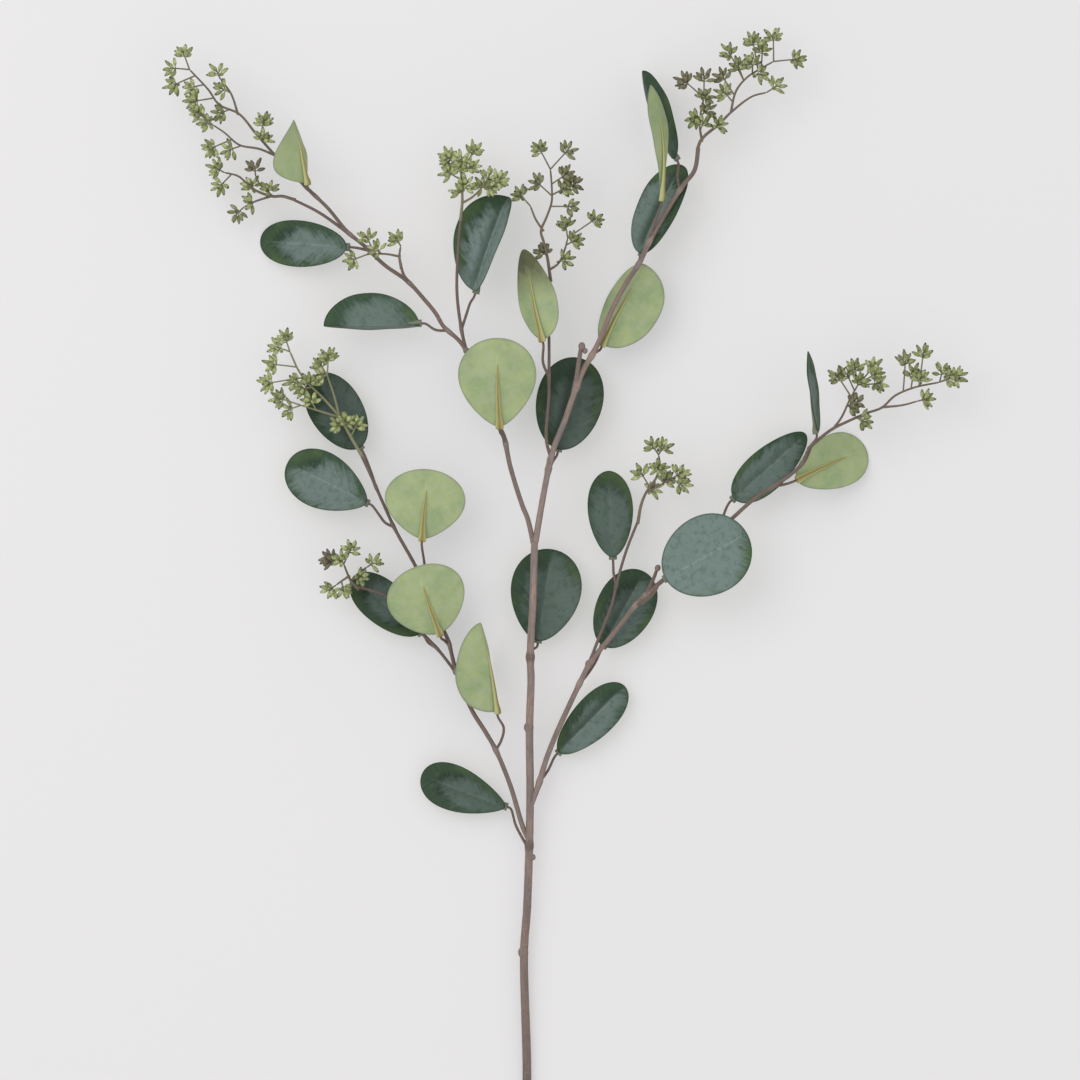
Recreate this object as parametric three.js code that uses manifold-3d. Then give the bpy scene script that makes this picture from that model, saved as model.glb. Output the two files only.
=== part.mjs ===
// A eucalyptus gum nut sprig with silver dollar leaves, lying down as a cut stem lies on a table.
// Millimetres. The origin is the flat spot under the stem near its cut end, +Y runs up the sprig
// and +Z points up from the surface. Places are [x, y, z].
import * as THREE from "three";
import { mergeVertices } from "three/addons/utils/BufferGeometryUtils.js";
import Module from "manifold-3d";

const wasm = await Module();
wasm.setup();

// Driving dimensions
const gap = 0.4; // between two pieces glued to each other
const sprayGap = 0.7; // between a twig's end and the spray that it carries
const bladeThickness = 0.8;
const petioleRadius = 0.95;
const ribRoot = 2.3; // radius of the moulded rib where it starts under the blade
const ribTip = 0.5;
const ribReach = 0.62; // how far the rib runs, as a share of the blade's length
const ribLead = 1.5; // how far the rib starts before the blade
const ribRise = 0.85; // how far the rib's middle stands off the blade, in rib radii
const ribShares = [0, 0.33, 0.66, 1]; // places along the rib
const petioleRun = 2.5; // straight end of a petiole before the rib
const petioleSwell = 1.15; // how much thicker a petiole is at the wood
const nutLength = 8.4; // a nut with its short stalk
const nutRadius = 1.7;
const nutWaist = 0.6; // where a nut is widest, as a share of its length
const nutLean = 50; // degrees between a nut and the stalk of its cluster
const stalkRadius = 0.65;
const twigRadii = [1, 0.85]; // of a spray's first twig and of those that fork from it, at their roots
const crownRadius = 1; // where the nuts of a cluster meet
const clusterLift = 5; // how far clusters rise and dip about their twig
const goldenTurn = 2.4; // radians from one cluster to the next
const easyTurn = 0.45; // cosine of the sharpest fork that a stalk makes without cost
const turnBackCost = 25; // millimetres of stalk that a full turn back is worth
const tieShares = [0.2, 0.6, 1]; // places on a stretch of twig where a stalk may start
const surface = 0; // height of the surface that the sprig lies on

// Grids and facets
const spokes = 16;
const rings = [0.6, 1];
const woodStep = 24;
const petioleStep = 11;
const ribStep = 15;
const twigStep = 15;
const ribSides = 3;
const petioleSides = 4;
const twigSides = 3;
const clusterNuts = 3;

// Colours
const bark = { color: 0x8c766c, roughness: 0.75, metalness: 0 };
const darkLeaf = { color: 0x3d5a48, roughness: 0.6, metalness: 0 };
const paleLeaf = { color: 0x9cae78, roughness: 0.7, metalness: 0 };
const nutGreen = { color: 0x8f9c5c, roughness: 0.6, metalness: 0 };

// The woody pieces. Each is a list of limbs with the radii at their two ends,
// and knobs where a leaf or a twig once grew, as [x, y, z, radius].
const wood = {
  main_stem: {
    sides: 6,
    limbs: [
      {
        radii: [3.4, 2.65],
        points: [
          [0, -15, 2.8], [0, 22, 2.8], [1.4, 75, 4.2], [-0.8, 169, 8], [1.5, 202, 9.6], [3.3, 254, 12.5],
          [3.8, 291, 14.8], [3.3, 339, 17.6], [4.5, 375, 19.8], [4, 393, 21], [6, 435, 24],
          [7.2, 480, 27],
        ],
      },
    ],
    knobs: [[-1.4, 169, 8, 4.2], [2.8, 339, 17.6, 4], [6, 241, 12, 2.2]],
  },
  upper_right_branch: {
    sides: 5,
    follows: "main_stem",
    limbs: [
      {
        radii: [2.4, 1.6],
        points: [
          [8.3, 481.5, 27.2], [16, 525, 30], [21, 547, 31.5], [30, 570, 33], [39, 596, 34.5],
          [44.5, 609, 35.5], [50.5, 619, 36], [56, 630, 36.5], [65, 652, 37], [75, 671, 37], [86, 688, 36.5],
          [93, 703, 36], [105, 724, 35], [118, 745, 34], [127, 757, 33.5], [130, 775, 33],
        ],
      },
      {
        radii: [1.3, 1],
        points: [
          [20, 540, 31], [16.5, 552, 32], [16, 562, 32.5], [18, 588, 33.5], [18, 602, 35], [18, 631, 37],
          [17, 660, 39], [19, 676, 40],
        ],
      },
      { radii: [1.9, 1.6], points: [[38, 595, 34.5], [40, 611, 38], [42, 624, 39.5]] },
    ],
    knobs: [[42.5, 625, 39.5, 2.8], [45, 621.5, 39.3, 2.1]],
  },
  upper_left_branch: {
    sides: 5,
    follows: "upper_right_branch",
    limbs: [
      {
        radii: [1.9, 1.3],
        points: [
          [6.5, 476, 26.6], [2, 496, 28], [-2, 506, 28.6], [-11, 535, 30], [-16, 558, 31],
          [-20, 566, 31.2], [-30, 592, 32], [-44, 622, 32.5], [-50, 630, 32.5], [-61, 640, 32],
          [-67, 650, 32], [-76, 661, 31.6], [-88, 674, 31], [-105, 686, 30.5], [-121, 701, 30],
          [-133, 711, 30], [-148, 729, 31], [-165, 745, 32],
        ],
      },
      { radii: [1.3, 1], points: [[-131, 709, 30], [-155, 726, 28.5], [-175, 736, 28]] },
      {
        radii: [1.3, 1],
        points: [[-44, 621, 32.5], [-48, 640, 33], [-51, 667, 34], [-49.5, 705, 35], [-48, 722, 36]],
      },
      { radii: [1.2, 1], points: [[-87, 673, 31], [-91, 679, 34.5], [-93, 686, 36.5]] },
    ],
    knobs: [[-44, 622, 32.5, 2.6]],
  },
  lower_left_branch: {
    sides: 5,
    follows: "main_stem",
    limbs: [
      {
        radii: [1.9, 1.1],
        points: [
          [3, 254, 12.6], [-1, 262, 13], [-11, 295, 15], [-22, 322, 17], [-30, 336, 18], [-40, 352, 19],
          [-52, 382, 21], [-58, 405, 22.5], [-63, 416, 23], [-71, 435, 24], [-82, 460, 25], [-97, 487, 26],
          [-104, 502, 26.5], [-116, 529, 27], [-123, 544, 27.5],
        ],
      },
      {
        radii: [1.2, 1],
        points: [
          [-51, 379, 21], [-64, 396, 21.5], [-77, 410, 22], [-103, 437, 23.5], [-115, 442, 24],
          [-127, 445, 24.5],
        ],
      },
    ],
    knobs: [[-52, 381, 21, 2.7]],
  },
  lower_right_branch: {
    sides: 5,
    follows: "main_stem",
    limbs: [
      {
        radii: [2.2, 1.3],
        points: [
          [3.8, 279, 14.2], [10, 295, 15.2], [16, 315, 16.5], [23, 333, 18], [32, 353, 20], [40, 370, 21.5],
          [49, 388, 23], [60, 402, 24], [73, 418, 25.5], [83, 431, 27], [94, 442, 28], [105, 451, 29],
          [131, 474, 31], [154, 495, 33], [172, 511, 34], [187, 521, 35], [199, 529, 36], [209, 539, 36.8],
          [214, 550, 37],
        ],
      },
      {
        radii: [1.2, 1],
        points: [
          [48, 387, 23], [58, 413, 25.5], [65, 431, 27], [69, 448, 28], [76, 472, 29.5], [85, 495, 31],
        ],
      },
      { radii: [1.5, 1.2], points: [[91, 439, 28], [96, 450, 30], [99, 458, 31]] },
    ],
    knobs: [[99.5, 459, 31, 2.4], [48, 387, 23, 3]],
  },
};

// The leaves. Each midrib runs from base to tip; roll lifts the left side and fold lifts both sides, in
// degrees; bow raises the middle of the blade and curl both its margins. A positive skew widens the outer
// half, taper narrows the blade at its base, point sharpens both ends, and the petiole's points run from
// the wood towards the blade.
const leaves = {
  leaf_stem_1: {
    wood: "main_stem", petiole: [[1, 250, 12], [-7, 265, 11.5]],
    base: [-15, 279, 12], tip: [-78, 303, 7], width: 34, skew: 0.6, taper: 0.15,
    roll: -6, fold: 8, bow: 3,
  },
  leaf_stem_2: {
    wood: "main_stem", petiole: [[4, 392, 21], [5.5, 397, 16.5]],
    base: [9.8, 404, 15], tip: [20.5, 473, 10], width: 54, skew: 0.2, taper: 0.2, fold: 5, bow: 3,
  },
  leaf_lower_left_1: {
    wood: "lower_left_branch", petiole: [[-22, 322, 17], [-18, 329, 20], [-16, 339, 24]], pale: true,
    base: [-22.5, 351, 27], tip: [-34, 418, 33], width: 57,
    skew: -0.4, roll: 55, fold: -33, bow: 2, point: 0.2,
  },
  leaf_lower_left_2: {
    wood: "lower_left_branch", petiole: [[-58, 402, 22.4], [-61, 405, 26.5]], pale: true,
    base: [-64, 410, 30], tip: [-82, 460, 42], width: 60,
    skew: 0.2, taper: 0.2, fold: -4, bow: 2,
  },
  leaf_lower_left_3: {
    wood: "lower_left_branch", petiole: [[-70, 431, 24], [-74, 447, 27], [-75.5, 463, 30]], pale: true,
    base: [-77, 481, 34], tip: [-73, 533, 41], width: 63,
    skew: 0.05, taper: 0.4, fold: -4, bow: 2,
  },
  leaf_lower_left_4: {
    wood: "lower_left_branch", petiole: [[-67, 399, 21.6], [-73, 403, 18.5]],
    base: [-79, 410, 16.5], tip: [-130, 452, 9], width: 33, skew: 0.2, fold: 8, bow: 2,
  },
  leaf_lower_left_5: {
    wood: "lower_left_branch", petiole: [[-99, 490, 26], [-105, 493, 25.5], [-110, 499.5, 25]],
    base: [-119, 508, 24], tip: [-179, 538, 12], width: 44,
    skew: 0.2, taper: 0.3, fold: 7, bow: 3,
  },
  leaf_lower_left_6: {
    wood: "lower_left_branch", petiole: [[-112, 520, 26.8], [-116, 532, 23]],
    base: [-124, 549.5, 18.5], tip: [-159, 604, 7], width: 40, skew: 0.1, fold: 7, bow: 2,
  },
  leaf_lower_right_1: {
    wood: "lower_right_branch", petiole: [[11, 298, 15.4], [17, 306, 14]],
    base: [25.5, 320, 12.5], tip: [75, 370, 9], width: 31, skew: 0.35, fold: 6, bow: 2,
  },
  leaf_lower_right_2: {
    wood: "lower_right_branch", petiole: [[41, 372, 21.7], [47, 379, 19], [53, 388, 17]],
    base: [59, 400, 15.5], tip: [90, 456, 10], width: 43, skew: 0.2, fold: 6, bow: 2,
  },
  leaf_lower_right_3: {
    wood: "lower_right_branch", petiole: [[83, 431, 27], [90, 434, 34], [97, 441, 38.5]],
    base: [105, 451, 40.5], tip: [166, 485, 43], width: 60, skew: 0.15, fold: 4, bow: 3,
  },
  leaf_lower_right_4: {
    wood: "lower_right_branch", petiole: [[68.5, 446, 28], [66.5, 455, 27]],
    base: [66, 467, 26], tip: [62.5, 532, 19], width: 34, point: 0.1, skew: 0.3, fold: 8, bow: 3,
  },
  leaf_lower_right_5: {
    wood: "lower_right_branch", petiole: [[146, 488, 32.3], [149.5, 500, 28]],
    base: [157, 511, 24], tip: [211.5, 560, 9], width: 31, skew: -0.4, roll: 6, fold: 7, bow: 2,
  },
  leaf_lower_right_6: {
    wood: "lower_right_branch", petiole: [[186, 520.3, 35], [194, 521.5, 33.3]], pale: true, rests: true,
    base: [204, 525, 30], tip: [257, 550, 4], width: 40, skew: 0.5, roll: -4, fold: -4, bow: 2,
  },
  leaf_lower_right_7: {
    wood: "lower_right_branch", petiole: [[208, 537, 36.7], [212, 548, 41]],
    base: [219.5, 561, 44], tip: [211.5, 621, 46], width: 30, roll: 74, fold: 6, bow: -1, point: 0.5,
  },
  leaf_upper_left_1: {
    wood: "upper_left_branch", petiole: [[-15, 552, 30.8], [-17, 558, 35.5]], pale: true,
    base: [-19, 565, 38], tip: [-22, 631, 45], width: 60,
    skew: 0.2, taper: 0.35, fold: -4, bow: 3,
  },
  leaf_upper_left_2: {
    wood: "upper_left_branch", petiole: [[-47.5, 638, 33], [-44, 649, 31], [-41, 658, 28.5]],
    base: [-38, 667, 26], tip: [-13, 738, 22], width: 54, skew: 0.3, roll: -34, fold: 38, bow: 2, curl: 2,
  },
  leaf_upper_left_3: {
    wood: "upper_left_branch", petiole: [[-57, 637, 32], [-67, 637.5, 32.5]],
    base: [-79, 641, 33], tip: [-151, 641, 31], width: 52,
    skew: 0.1, roll: -38, fold: -50, bow: 1, point: 0.1,
  },
  leaf_upper_left_4: {
    wood: "upper_left_branch", petiole: [[-117, 697, 30.2], [-125, 699, 28]], rests: true,
    base: [-134, 700, 25.5], tip: [-200, 706, 3], width: 35, skew: 0.2, roll: -4, fold: 5, bow: 3,
  },
  leaf_upper_left_5: {
    wood: "upper_left_branch", petiole: [[-157, 738, 31.6], [-161, 742, 36]], pale: true,
    base: [-164.5, 747, 39], tip: [-173, 794, 44], width: 42, skew: -1.2,
    roll: 50, fold: -33, bow: 1, point: 0.7,
  },
  leaf_upper_right_1: {
    wood: "upper_right_branch", petiole: [[18, 533, 30.5], [21, 539, 27]],
    base: [25, 548, 24], tip: [41, 617, 15], width: 50, skew: 0.15, fold: 5, bow: 3,
  },
  leaf_upper_right_2: {
    wood: "upper_right_branch", petiole: [[18, 602, 35], [13.5, 613, 39]], pale: true,
    base: [14, 630, 43], tip: [-1, 697, 49], width: 34, skew: -0.6, roll: -34, fold: -17, bow: 1, point: 0.15,
  },
  leaf_upper_right_3: {
    wood: "upper_right_branch", petiole: [[50, 618, 35.8], [53, 620.5, 31]], pale: true,
    base: [59, 626, 28], tip: [90, 687, 26], width: 58, skew: 0.2, roll: -28, fold: -36, bow: 2,
  },
  leaf_upper_right_4: {
    wood: "upper_right_branch", petiole: [[85, 686, 36.5], [88, 690, 31]],
    base: [86.5, 695, 27], tip: [118, 762, 19], width: 37, skew: 0.1, roll: -33, fold: 12, bow: 2,
  },
  leaf_upper_right_5: {
    wood: "upper_right_branch", petiole: [[116, 742, 34.2], [114.5, 752, 31]],
    base: [112, 766, 26], tip: [88.5, 833, 18], width: 32, roll: -60, fold: -23, bow: 3, point: 0.2,
  },
  leaf_upper_right_6: {
    wood: "upper_right_branch", petiole: [[93, 703, 36], [96.5, 716, 38]], pale: true,
    base: [100.5, 735, 40], tip: [94, 820, 46], width: 24,
    skew: 1.3, taper: 0.3, roll: 60, fold: -6, bow: 6, point: 0.7,
  },
};

// The sprays of nuts. Each twig is a chain of places; the first twig of a spray starts at the wood, and
// the others on it. A cluster [x, y] is tied to the nearest stretch of twig that leads towards it.
const sprays = {
  nut_spray_upper_left_tip: {
    twigs: [
      [[-165, 745, 32], [-176, 757, 33], [-187, 768, 34], [-202, 785, 35], [-214, 799, 36], [-229, 806, 37],
        [-237, 817, 38], [-251, 832, 39]],
      [[-187, 768, 34], [-199, 773, 34], [-214, 776, 35], [-225, 785, 36], [-234, 791, 37]],
      [[-214, 799, 36], [-220, 814, 38], [-228, 825, 40]],
    ],
    clusters: [
      [-256, 846], [-266, 833], [-265, 820], [-251, 818], [-250, 808], [-231, 832], [-228, 818], [-240, 793],
      [-195, 795], [-196, 781], [-237, 773], [-223, 771], [-246, 801], [-230, 799],
    ],
  },
  nut_spray_upper_left_low: {
    twigs: [
      [[-175, 736, 28], [-182, 738, 27.6], [-190, 738, 27], [-205, 744, 26], [-215, 753, 26],
        [-226, 756, 26]],
      [[-190, 738, 27], [-199, 747, 28], [-202, 753, 29]],
      [[-190, 738, 27], [-203, 734, 26], [-211, 730, 25]],
    ],
    clusters: [[-233, 760], [-203, 761], [-206, 748], [-230, 744], [-207, 733], [-218, 724], [-192, 744]],
  },
  nut_spray_upper_left_side: {
    twigs: [
      [[-93, 686, 36.5], [-94, 692, 38], [-93, 700, 39]],
      [[-94, 692, 38], [-104, 694, 39], [-117, 694, 40]],
    ],
    clusters: [[-97, 707], [-119, 708], [-131, 689], [-112, 699]],
  },
  nut_spray_upper_left_inner: {
    twigs: [
      [[-48, 722, 36], [-47, 732, 37], [-47, 742, 38], [-48, 756, 40]],
      [[-47, 732, 37], [-39, 737, 37], [-32, 744, 38]],
    ],
    clusters: [
      [-59, 768], [-47, 767], [-37, 773], [-48, 758], [-50, 742], [-26, 754], [-17, 750], [-32, 746],
      [-59, 756], [-38, 760], [-53, 762], [-43, 747], [-23, 744],
    ],
  },
  nut_spray_centre: {
    twigs: [
      [[19, 676, 40], [17, 690, 40], [14, 703, 41], [12, 711, 41], [16, 721, 42], [20, 733, 43],
        [20, 745, 44], [19, 757, 45]],
      [[12, 711, 41], [8, 720, 40], [4, 730, 39]],
      [[18, 682, 40], [25, 687, 39], [30, 698, 39], [32, 706, 39]],
    ],
    clusters: [
      [10, 774], [33, 772], [-5, 740], [8, 748], [32, 754], [39, 747], [36, 729], [30, 718], [54, 721],
      [39, 705], [12, 697], [32, 690], [31, 744],
    ],
  },
  nut_spray_upper_right_tip: {
    twigs: [
      [[130, 775, 33], [131.5, 779, 33.3], [136, 784, 34], [145, 791, 35], [154, 800, 36],
        [170, 812, 37], [181, 815, 38]],
      [[154, 800, 36], [158, 816, 38], [166, 826, 39], [177, 833, 40], [186, 838, 40]],
      [[132.5, 778.5, 33.5], [131, 790, 34], [132, 802, 35], [134, 811, 36]],
    ],
    clusters: [
      [118, 825], [134, 828], [147, 829], [135, 812], [148, 817], [125, 796], [146, 791], [152, 847],
      [159, 836], [170, 855], [186, 859], [170, 839], [205, 840], [190, 821], [178, 828], [178, 849],
      [134, 794], [138, 803],
    ],
  },
  nut_spray_lower_left_tip: {
    twigs: [
      [[-123, 544, 27.5], [-131, 558, 30], [-139, 572, 32], [-150, 585, 34], [-161, 596, 35], [-169, 606, 36],
        [-176, 621, 37]],
      [[-139, 572, 32], [-143, 588, 35], [-148, 603, 37]],
      [[-139, 572, 32], [-155, 577, 33], [-168, 581, 33]],
    ],
    clusters: [
      [-180, 633], [-187, 625], [-191, 612], [-194, 597], [-186, 587], [-179, 577], [-175, 598], [-154, 613],
      [-147, 619], [-161, 599], [-133, 571], [-161, 586], [-169, 593], [-154, 603], [-142, 567], [-125, 569],
    ],
  },
  nut_spray_lower_left_side: {
    twigs: [
      [[-127, 445, 24.5], [-130, 448, 25], [-133, 454, 26], [-136, 462, 28]],
      [[-132, 453, 26], [-138, 449, 26], [-142, 446, 26]],
      [[-130, 450, 25.5], [-124, 456, 27], [-118, 460, 28]],
    ],
    clusters: [[-149, 466], [-139, 467], [-130, 475], [-112, 464], [-148, 442], [-136, 440], [-122, 452]],
  },
  nut_spray_lower_right_inner: {
    twigs: [
      [[85, 495, 31], [87, 506, 32], [91, 516, 33], [98, 526, 35], [101, 536, 36], [100, 544, 37]],
      [[91, 516, 33], [101, 521, 34], [110, 526, 34]],
    ],
    clusters: [[94, 552], [105, 551], [86, 532], [100, 534], [118, 531], [96, 518], [119, 520], [107, 527]],
  },
  nut_spray_lower_right_tip: {
    twigs: [
      [[214, 550, 37], [222, 557, 38], [230, 563, 38], [240, 568, 38], [256, 575, 38],
        [267, 579, 38], [277, 588, 39], [291, 594, 40], [310, 598, 41]],
      [[230, 563, 38], [237, 572, 39], [243, 585, 40], [249, 596, 41]],
      [[267, 579, 38], [283, 581, 38], [294, 584, 38]],
    ],
    clusters: [
      [233, 604], [246, 611], [262, 611], [251, 599], [266, 597], [250, 584], [255, 568], [285, 616],
      [298, 621], [296, 603], [313, 608], [325, 603], [302, 586], [240, 606], [263, 605], [291, 607],
      [319, 602], [245, 580],
    ],
  },
};

// A closed solid from a three.js geometry, with the vertices that its faces share merged
function toSolid(geometry) {
  geometry.deleteAttribute("normal");
  geometry.deleteAttribute("uv");
  const merged = mergeVertices(geometry, 1e-4);
  return new wasm.Manifold(
    new wasm.Mesh({
      numProp: 3,
      vertProperties: merged.getAttribute("position").array,
      triVerts: Uint32Array.from(merged.index.array),
    }),
  );
}

// A three.js mesh from a solid
function toMesh(name, solid, finish) {
  const { vertProperties, triVerts } = solid.getMesh();
  const geometry = new THREE.BufferGeometry();
  geometry.setAttribute("position", new THREE.BufferAttribute(vertProperties, 3));
  geometry.setIndex(new THREE.BufferAttribute(triVerts, 1));
  geometry.computeVertexNormals();
  const mesh = new THREE.Mesh(geometry, new THREE.MeshStandardMaterial({ ...finish, flatShading: true }));
  mesh.name = name;
  return mesh;
}

// The outer body of a joined solid, which leaves no sealed hollow or scrap
function oneBody(solid) {
  return solid.decompose().reduce((best, body) => (body.volume() > best.volume() ? body : best));
}

const toVector = (place) => new THREE.Vector3(...place);
const smoothCurve = (points) => new THREE.CatmullRomCurve3(points, false, "centripetal");

const stepsAlong = (curve, step) => Math.max(1, Math.round(curve.getLength() / step));

// The middles of a limb's rings
function ringCentres(points, step) {
  const curve = smoothCurve(points);
  return curve.getSpacedPoints(stepsAlong(curve, step));
}

// A tapered round limb: a cylinder whose rings are carried along the smooth curve through the points
function makeLimb(points, radii, sides, step) {
  const curve = smoothCurve(points);
  const steps = stepsAlong(curve, step);
  const { normals, binormals } = curve.computeFrenetFrames(steps);
  const shape = new THREE.CylinderGeometry(1, 1, 1, sides, steps);
  const vertices = shape.getAttribute("position");
  for (let i = 0; i < vertices.count; i++) {
    const ring = Math.round((vertices.getY(i) + 0.5) * steps);
    const radius = THREE.MathUtils.lerp(radii[0], radii[1], ring / steps);
    const place = curve.getPointAt(ring / steps);
    place.addScaledVector(binormals[ring], vertices.getX(i) * radius);
    place.addScaledVector(normals[ring], vertices.getZ(i) * radius);
    vertices.setXYZ(i, place.x, place.y, place.z);
  }
  return toSolid(shape);
}

// The frame of a leaf: forward along its midrib, up through its face and left across it, rolled
function leafFrame(leaf) {
  const base = toVector(leaf.base);
  const forward = toVector(leaf.tip).sub(base);
  const length = forward.length();
  forward.normalize();
  const left = new THREE.Vector3(0, 0, 1).cross(forward).normalize();
  left.applyAxisAngle(forward, THREE.MathUtils.degToRad(leaf.roll ?? 0));
  const up = new THREE.Vector3().crossVectors(forward, left);
  return { base, forward, left, up, length };
}

// A place in the middle of the blade's thickness: along runs from 0 at the base to 1 at the tip and
// across is millimetres from the midrib, left positive
function bladePlace(leaf, frame, along, across) {
  const fold = THREE.MathUtils.degToRad(leaf.fold ?? 0);
  const half = leaf.width / 2;
  const rise =
    Math.abs(across) * Math.sin(fold) +
    (leaf.bow ?? 0) * 4 * along * (1 - along) +
    (leaf.curl ?? 0) * (across / half) ** 2;
  return frame.base
    .clone()
    .addScaledVector(frame.forward, along * frame.length)
    .addScaledVector(frame.left, across * Math.cos(fold))
    .addScaledVector(frame.up, rise);
}

// A place on a ring of the leaf's outline, which is an ellipse with the leaf's own skew, taper and point
function ringPlace(leaf, frame, share, angle) {
  const along = 0.5 - 0.5 * Math.cos(angle);
  const bulge = Math.sin(angle) * Math.abs(Math.sin(angle)) ** (leaf.point ?? 0);
  const lean = 1 + (leaf.skew ?? 0) * (along - 0.5) - (leaf.taper ?? 0) * (1 - along) ** 3;
  const across = (leaf.width / 2) * bulge * lean;
  return bladePlace(leaf, frame, 0.5 + share * (along - 0.5), share * across);
}

// The blade: rings of places round the middle of the leaf, thickened alike to both sides
function makeBlade(leaf, frame) {
  const middle = [bladePlace(leaf, frame, 0.5, 0)];
  for (const share of rings)
    for (let k = 0; k < spokes; k++) middle.push(ringPlace(leaf, frame, share, (2 * Math.PI * k) / spokes));
  const faces = [];
  const at = (ring, k) => 1 + ring * spokes + (k % spokes);
  for (let k = 0; k < spokes; k++) {
    faces.push([0, at(0, k + 1), at(0, k)]);
    for (let ring = 1; ring < rings.length; ring++) {
      faces.push([at(ring - 1, k), at(ring, k + 1), at(ring, k)]);
      faces.push([at(ring - 1, k), at(ring - 1, k + 1), at(ring, k + 1)]);
    }
  }
  const sheet = new THREE.BufferGeometry().setFromPoints(middle).setIndex(faces.flat());
  sheet.computeVertexNormals();
  const normals = sheet.getAttribute("normal");
  const half = bladeThickness / 2;
  const normalAt = (i) => new THREE.Vector3().fromBufferAttribute(normals, i);
  const offset = (side) => middle.map((place, i) => place.clone().addScaledVector(normalAt(i), side));
  const count = middle.length;
  const outer = rings.length - 1;
  const closed = faces.concat(faces.map(([a, b, c]) => [c + count, b + count, a + count]));
  for (let k = 0; k < spokes; k++) {
    const here = at(outer, k);
    const next = at(outer, k + 1);
    closed.push([here, next, next + count], [here, next + count, here + count]);
  }
  const blade = new THREE.BufferGeometry().setFromPoints([...offset(half), ...offset(-half)]);
  return toSolid(blade.setIndex(closed.flat()));
}

// Places along the middle of the rib, which is moulded on the pale underside of the blade
function ribPlaces(leaf, frame) {
  const under = frame.up.clone().multiplyScalar(leaf.pale ? 1 : -1);
  const places = ribShares.map((share) => {
    const radius = THREE.MathUtils.lerp(ribRoot, ribTip, share);
    return bladePlace(leaf, frame, share * ribReach, 0).addScaledVector(under, radius * ribRise);
  });
  places[0].addScaledVector(frame.forward, -ribLead);
  return places;
}

// A leaf that rests has its heights stretched about its base until its lowest point meets the surface
function restOnSurface(solid, leaf) {
  const { min } = solid.boundingBox();
  const top = leaf.base[2];
  const stretch = (top - surface) / (top - min[2]);
  return solid.warp((vertex) => {
    vertex[2] = top + (vertex[2] - top) * stretch;
  });
}

function makeLeaf(leaf) {
  const frame = leafFrame(leaf);
  const rib = makeLimb(ribPlaces(leaf, frame), [ribRoot, ribTip], ribSides, ribStep);
  const solid = oneBody(makeBlade(leaf, frame).add(rib));
  return leaf.rests ? restOnSurface(solid, leaf) : solid;
}

// The petiole runs from inside the wood and ends square to the rib, a gap short of it
function makePetiole(leaf, extra) {
  const [root, next] = ribPlaces(leaf, leafFrame(leaf));
  const heading = next.clone().sub(root).normalize();
  const points = leaf.petiole.map(toVector);
  for (const back of [petioleRun, gap]) points.push(root.clone().addScaledVector(heading, -back));
  const radii = [petioleRadius * petioleSwell + extra, petioleRadius + extra];
  return makeLimb(points, radii, petioleSides, petioleStep);
}

// The points with both ends moved outwards
function lengthened(points, extra) {
  const [start, second] = points;
  const [beforeLast, end] = points.slice(-2);
  const lead = start.clone().sub(second).setLength(extra);
  const tail = end.clone().sub(beforeLast).setLength(extra);
  return [start.clone().add(lead), ...points.slice(1, -1), end.clone().add(tail)];
}

// A woody piece with the petioles that it carries; extra makes it fatter all over, to cut a seat for it
function makeWood(name, extra = 0) {
  const { sides, limbs, knobs } = wood[name];
  const solids = limbs.map(({ points, radii }) =>
    makeLimb(lengthened(points.map(toVector), extra), radii.map((r) => r + extra), sides, woodStep),
  );
  for (const [x, y, z, radius] of knobs) {
    const knob = new THREE.OctahedronGeometry(radius + extra, 0).translate(x, y, z);
    solids.push(toSolid(knob));
  }
  for (const leaf of Object.values(leaves)) if (leaf.wood === name) solids.push(makePetiole(leaf, extra));
  return wasm.Manifold.union(solids);
}

// Each branch is cut back to a gap from the wood that it is plugged on, and nothing reaches below the surface
function fitWood(name) {
  let solid = makeWood(name);
  for (let parent = wood[name].follows; parent; parent = wood[parent].follows)
    solid = solid.subtract(makeWood(parent, gap));
  const above = new THREE.BoxGeometry(900, 1200, 200).translate(0, 400, surface + 100);
  return solid.intersect(toSolid(above));
}

// Where a cluster is tied to its twigs: the nearest place from which the cluster lies ahead
function tieTo(lines, [x, y]) {
  let best = null;
  for (const line of lines)
    for (let i = 1; i < line.length; i++)
      for (const share of tieShares) {
        const foot = line[i - 1].clone().lerp(line[i], share);
        const reach = new THREE.Vector3(x - foot.x, y - foot.y, 0);
        const heading = line[i].clone().sub(line[i - 1]).normalize();
        const ahead = reach.dot(heading) / (reach.length() + 0.01);
        const cost = reach.length() + turnBackCost * Math.max(0, easyTurn - ahead);
        if (!best || cost < best.cost) best = { cost, foot };
      }
  return best.foot;
}

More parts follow.
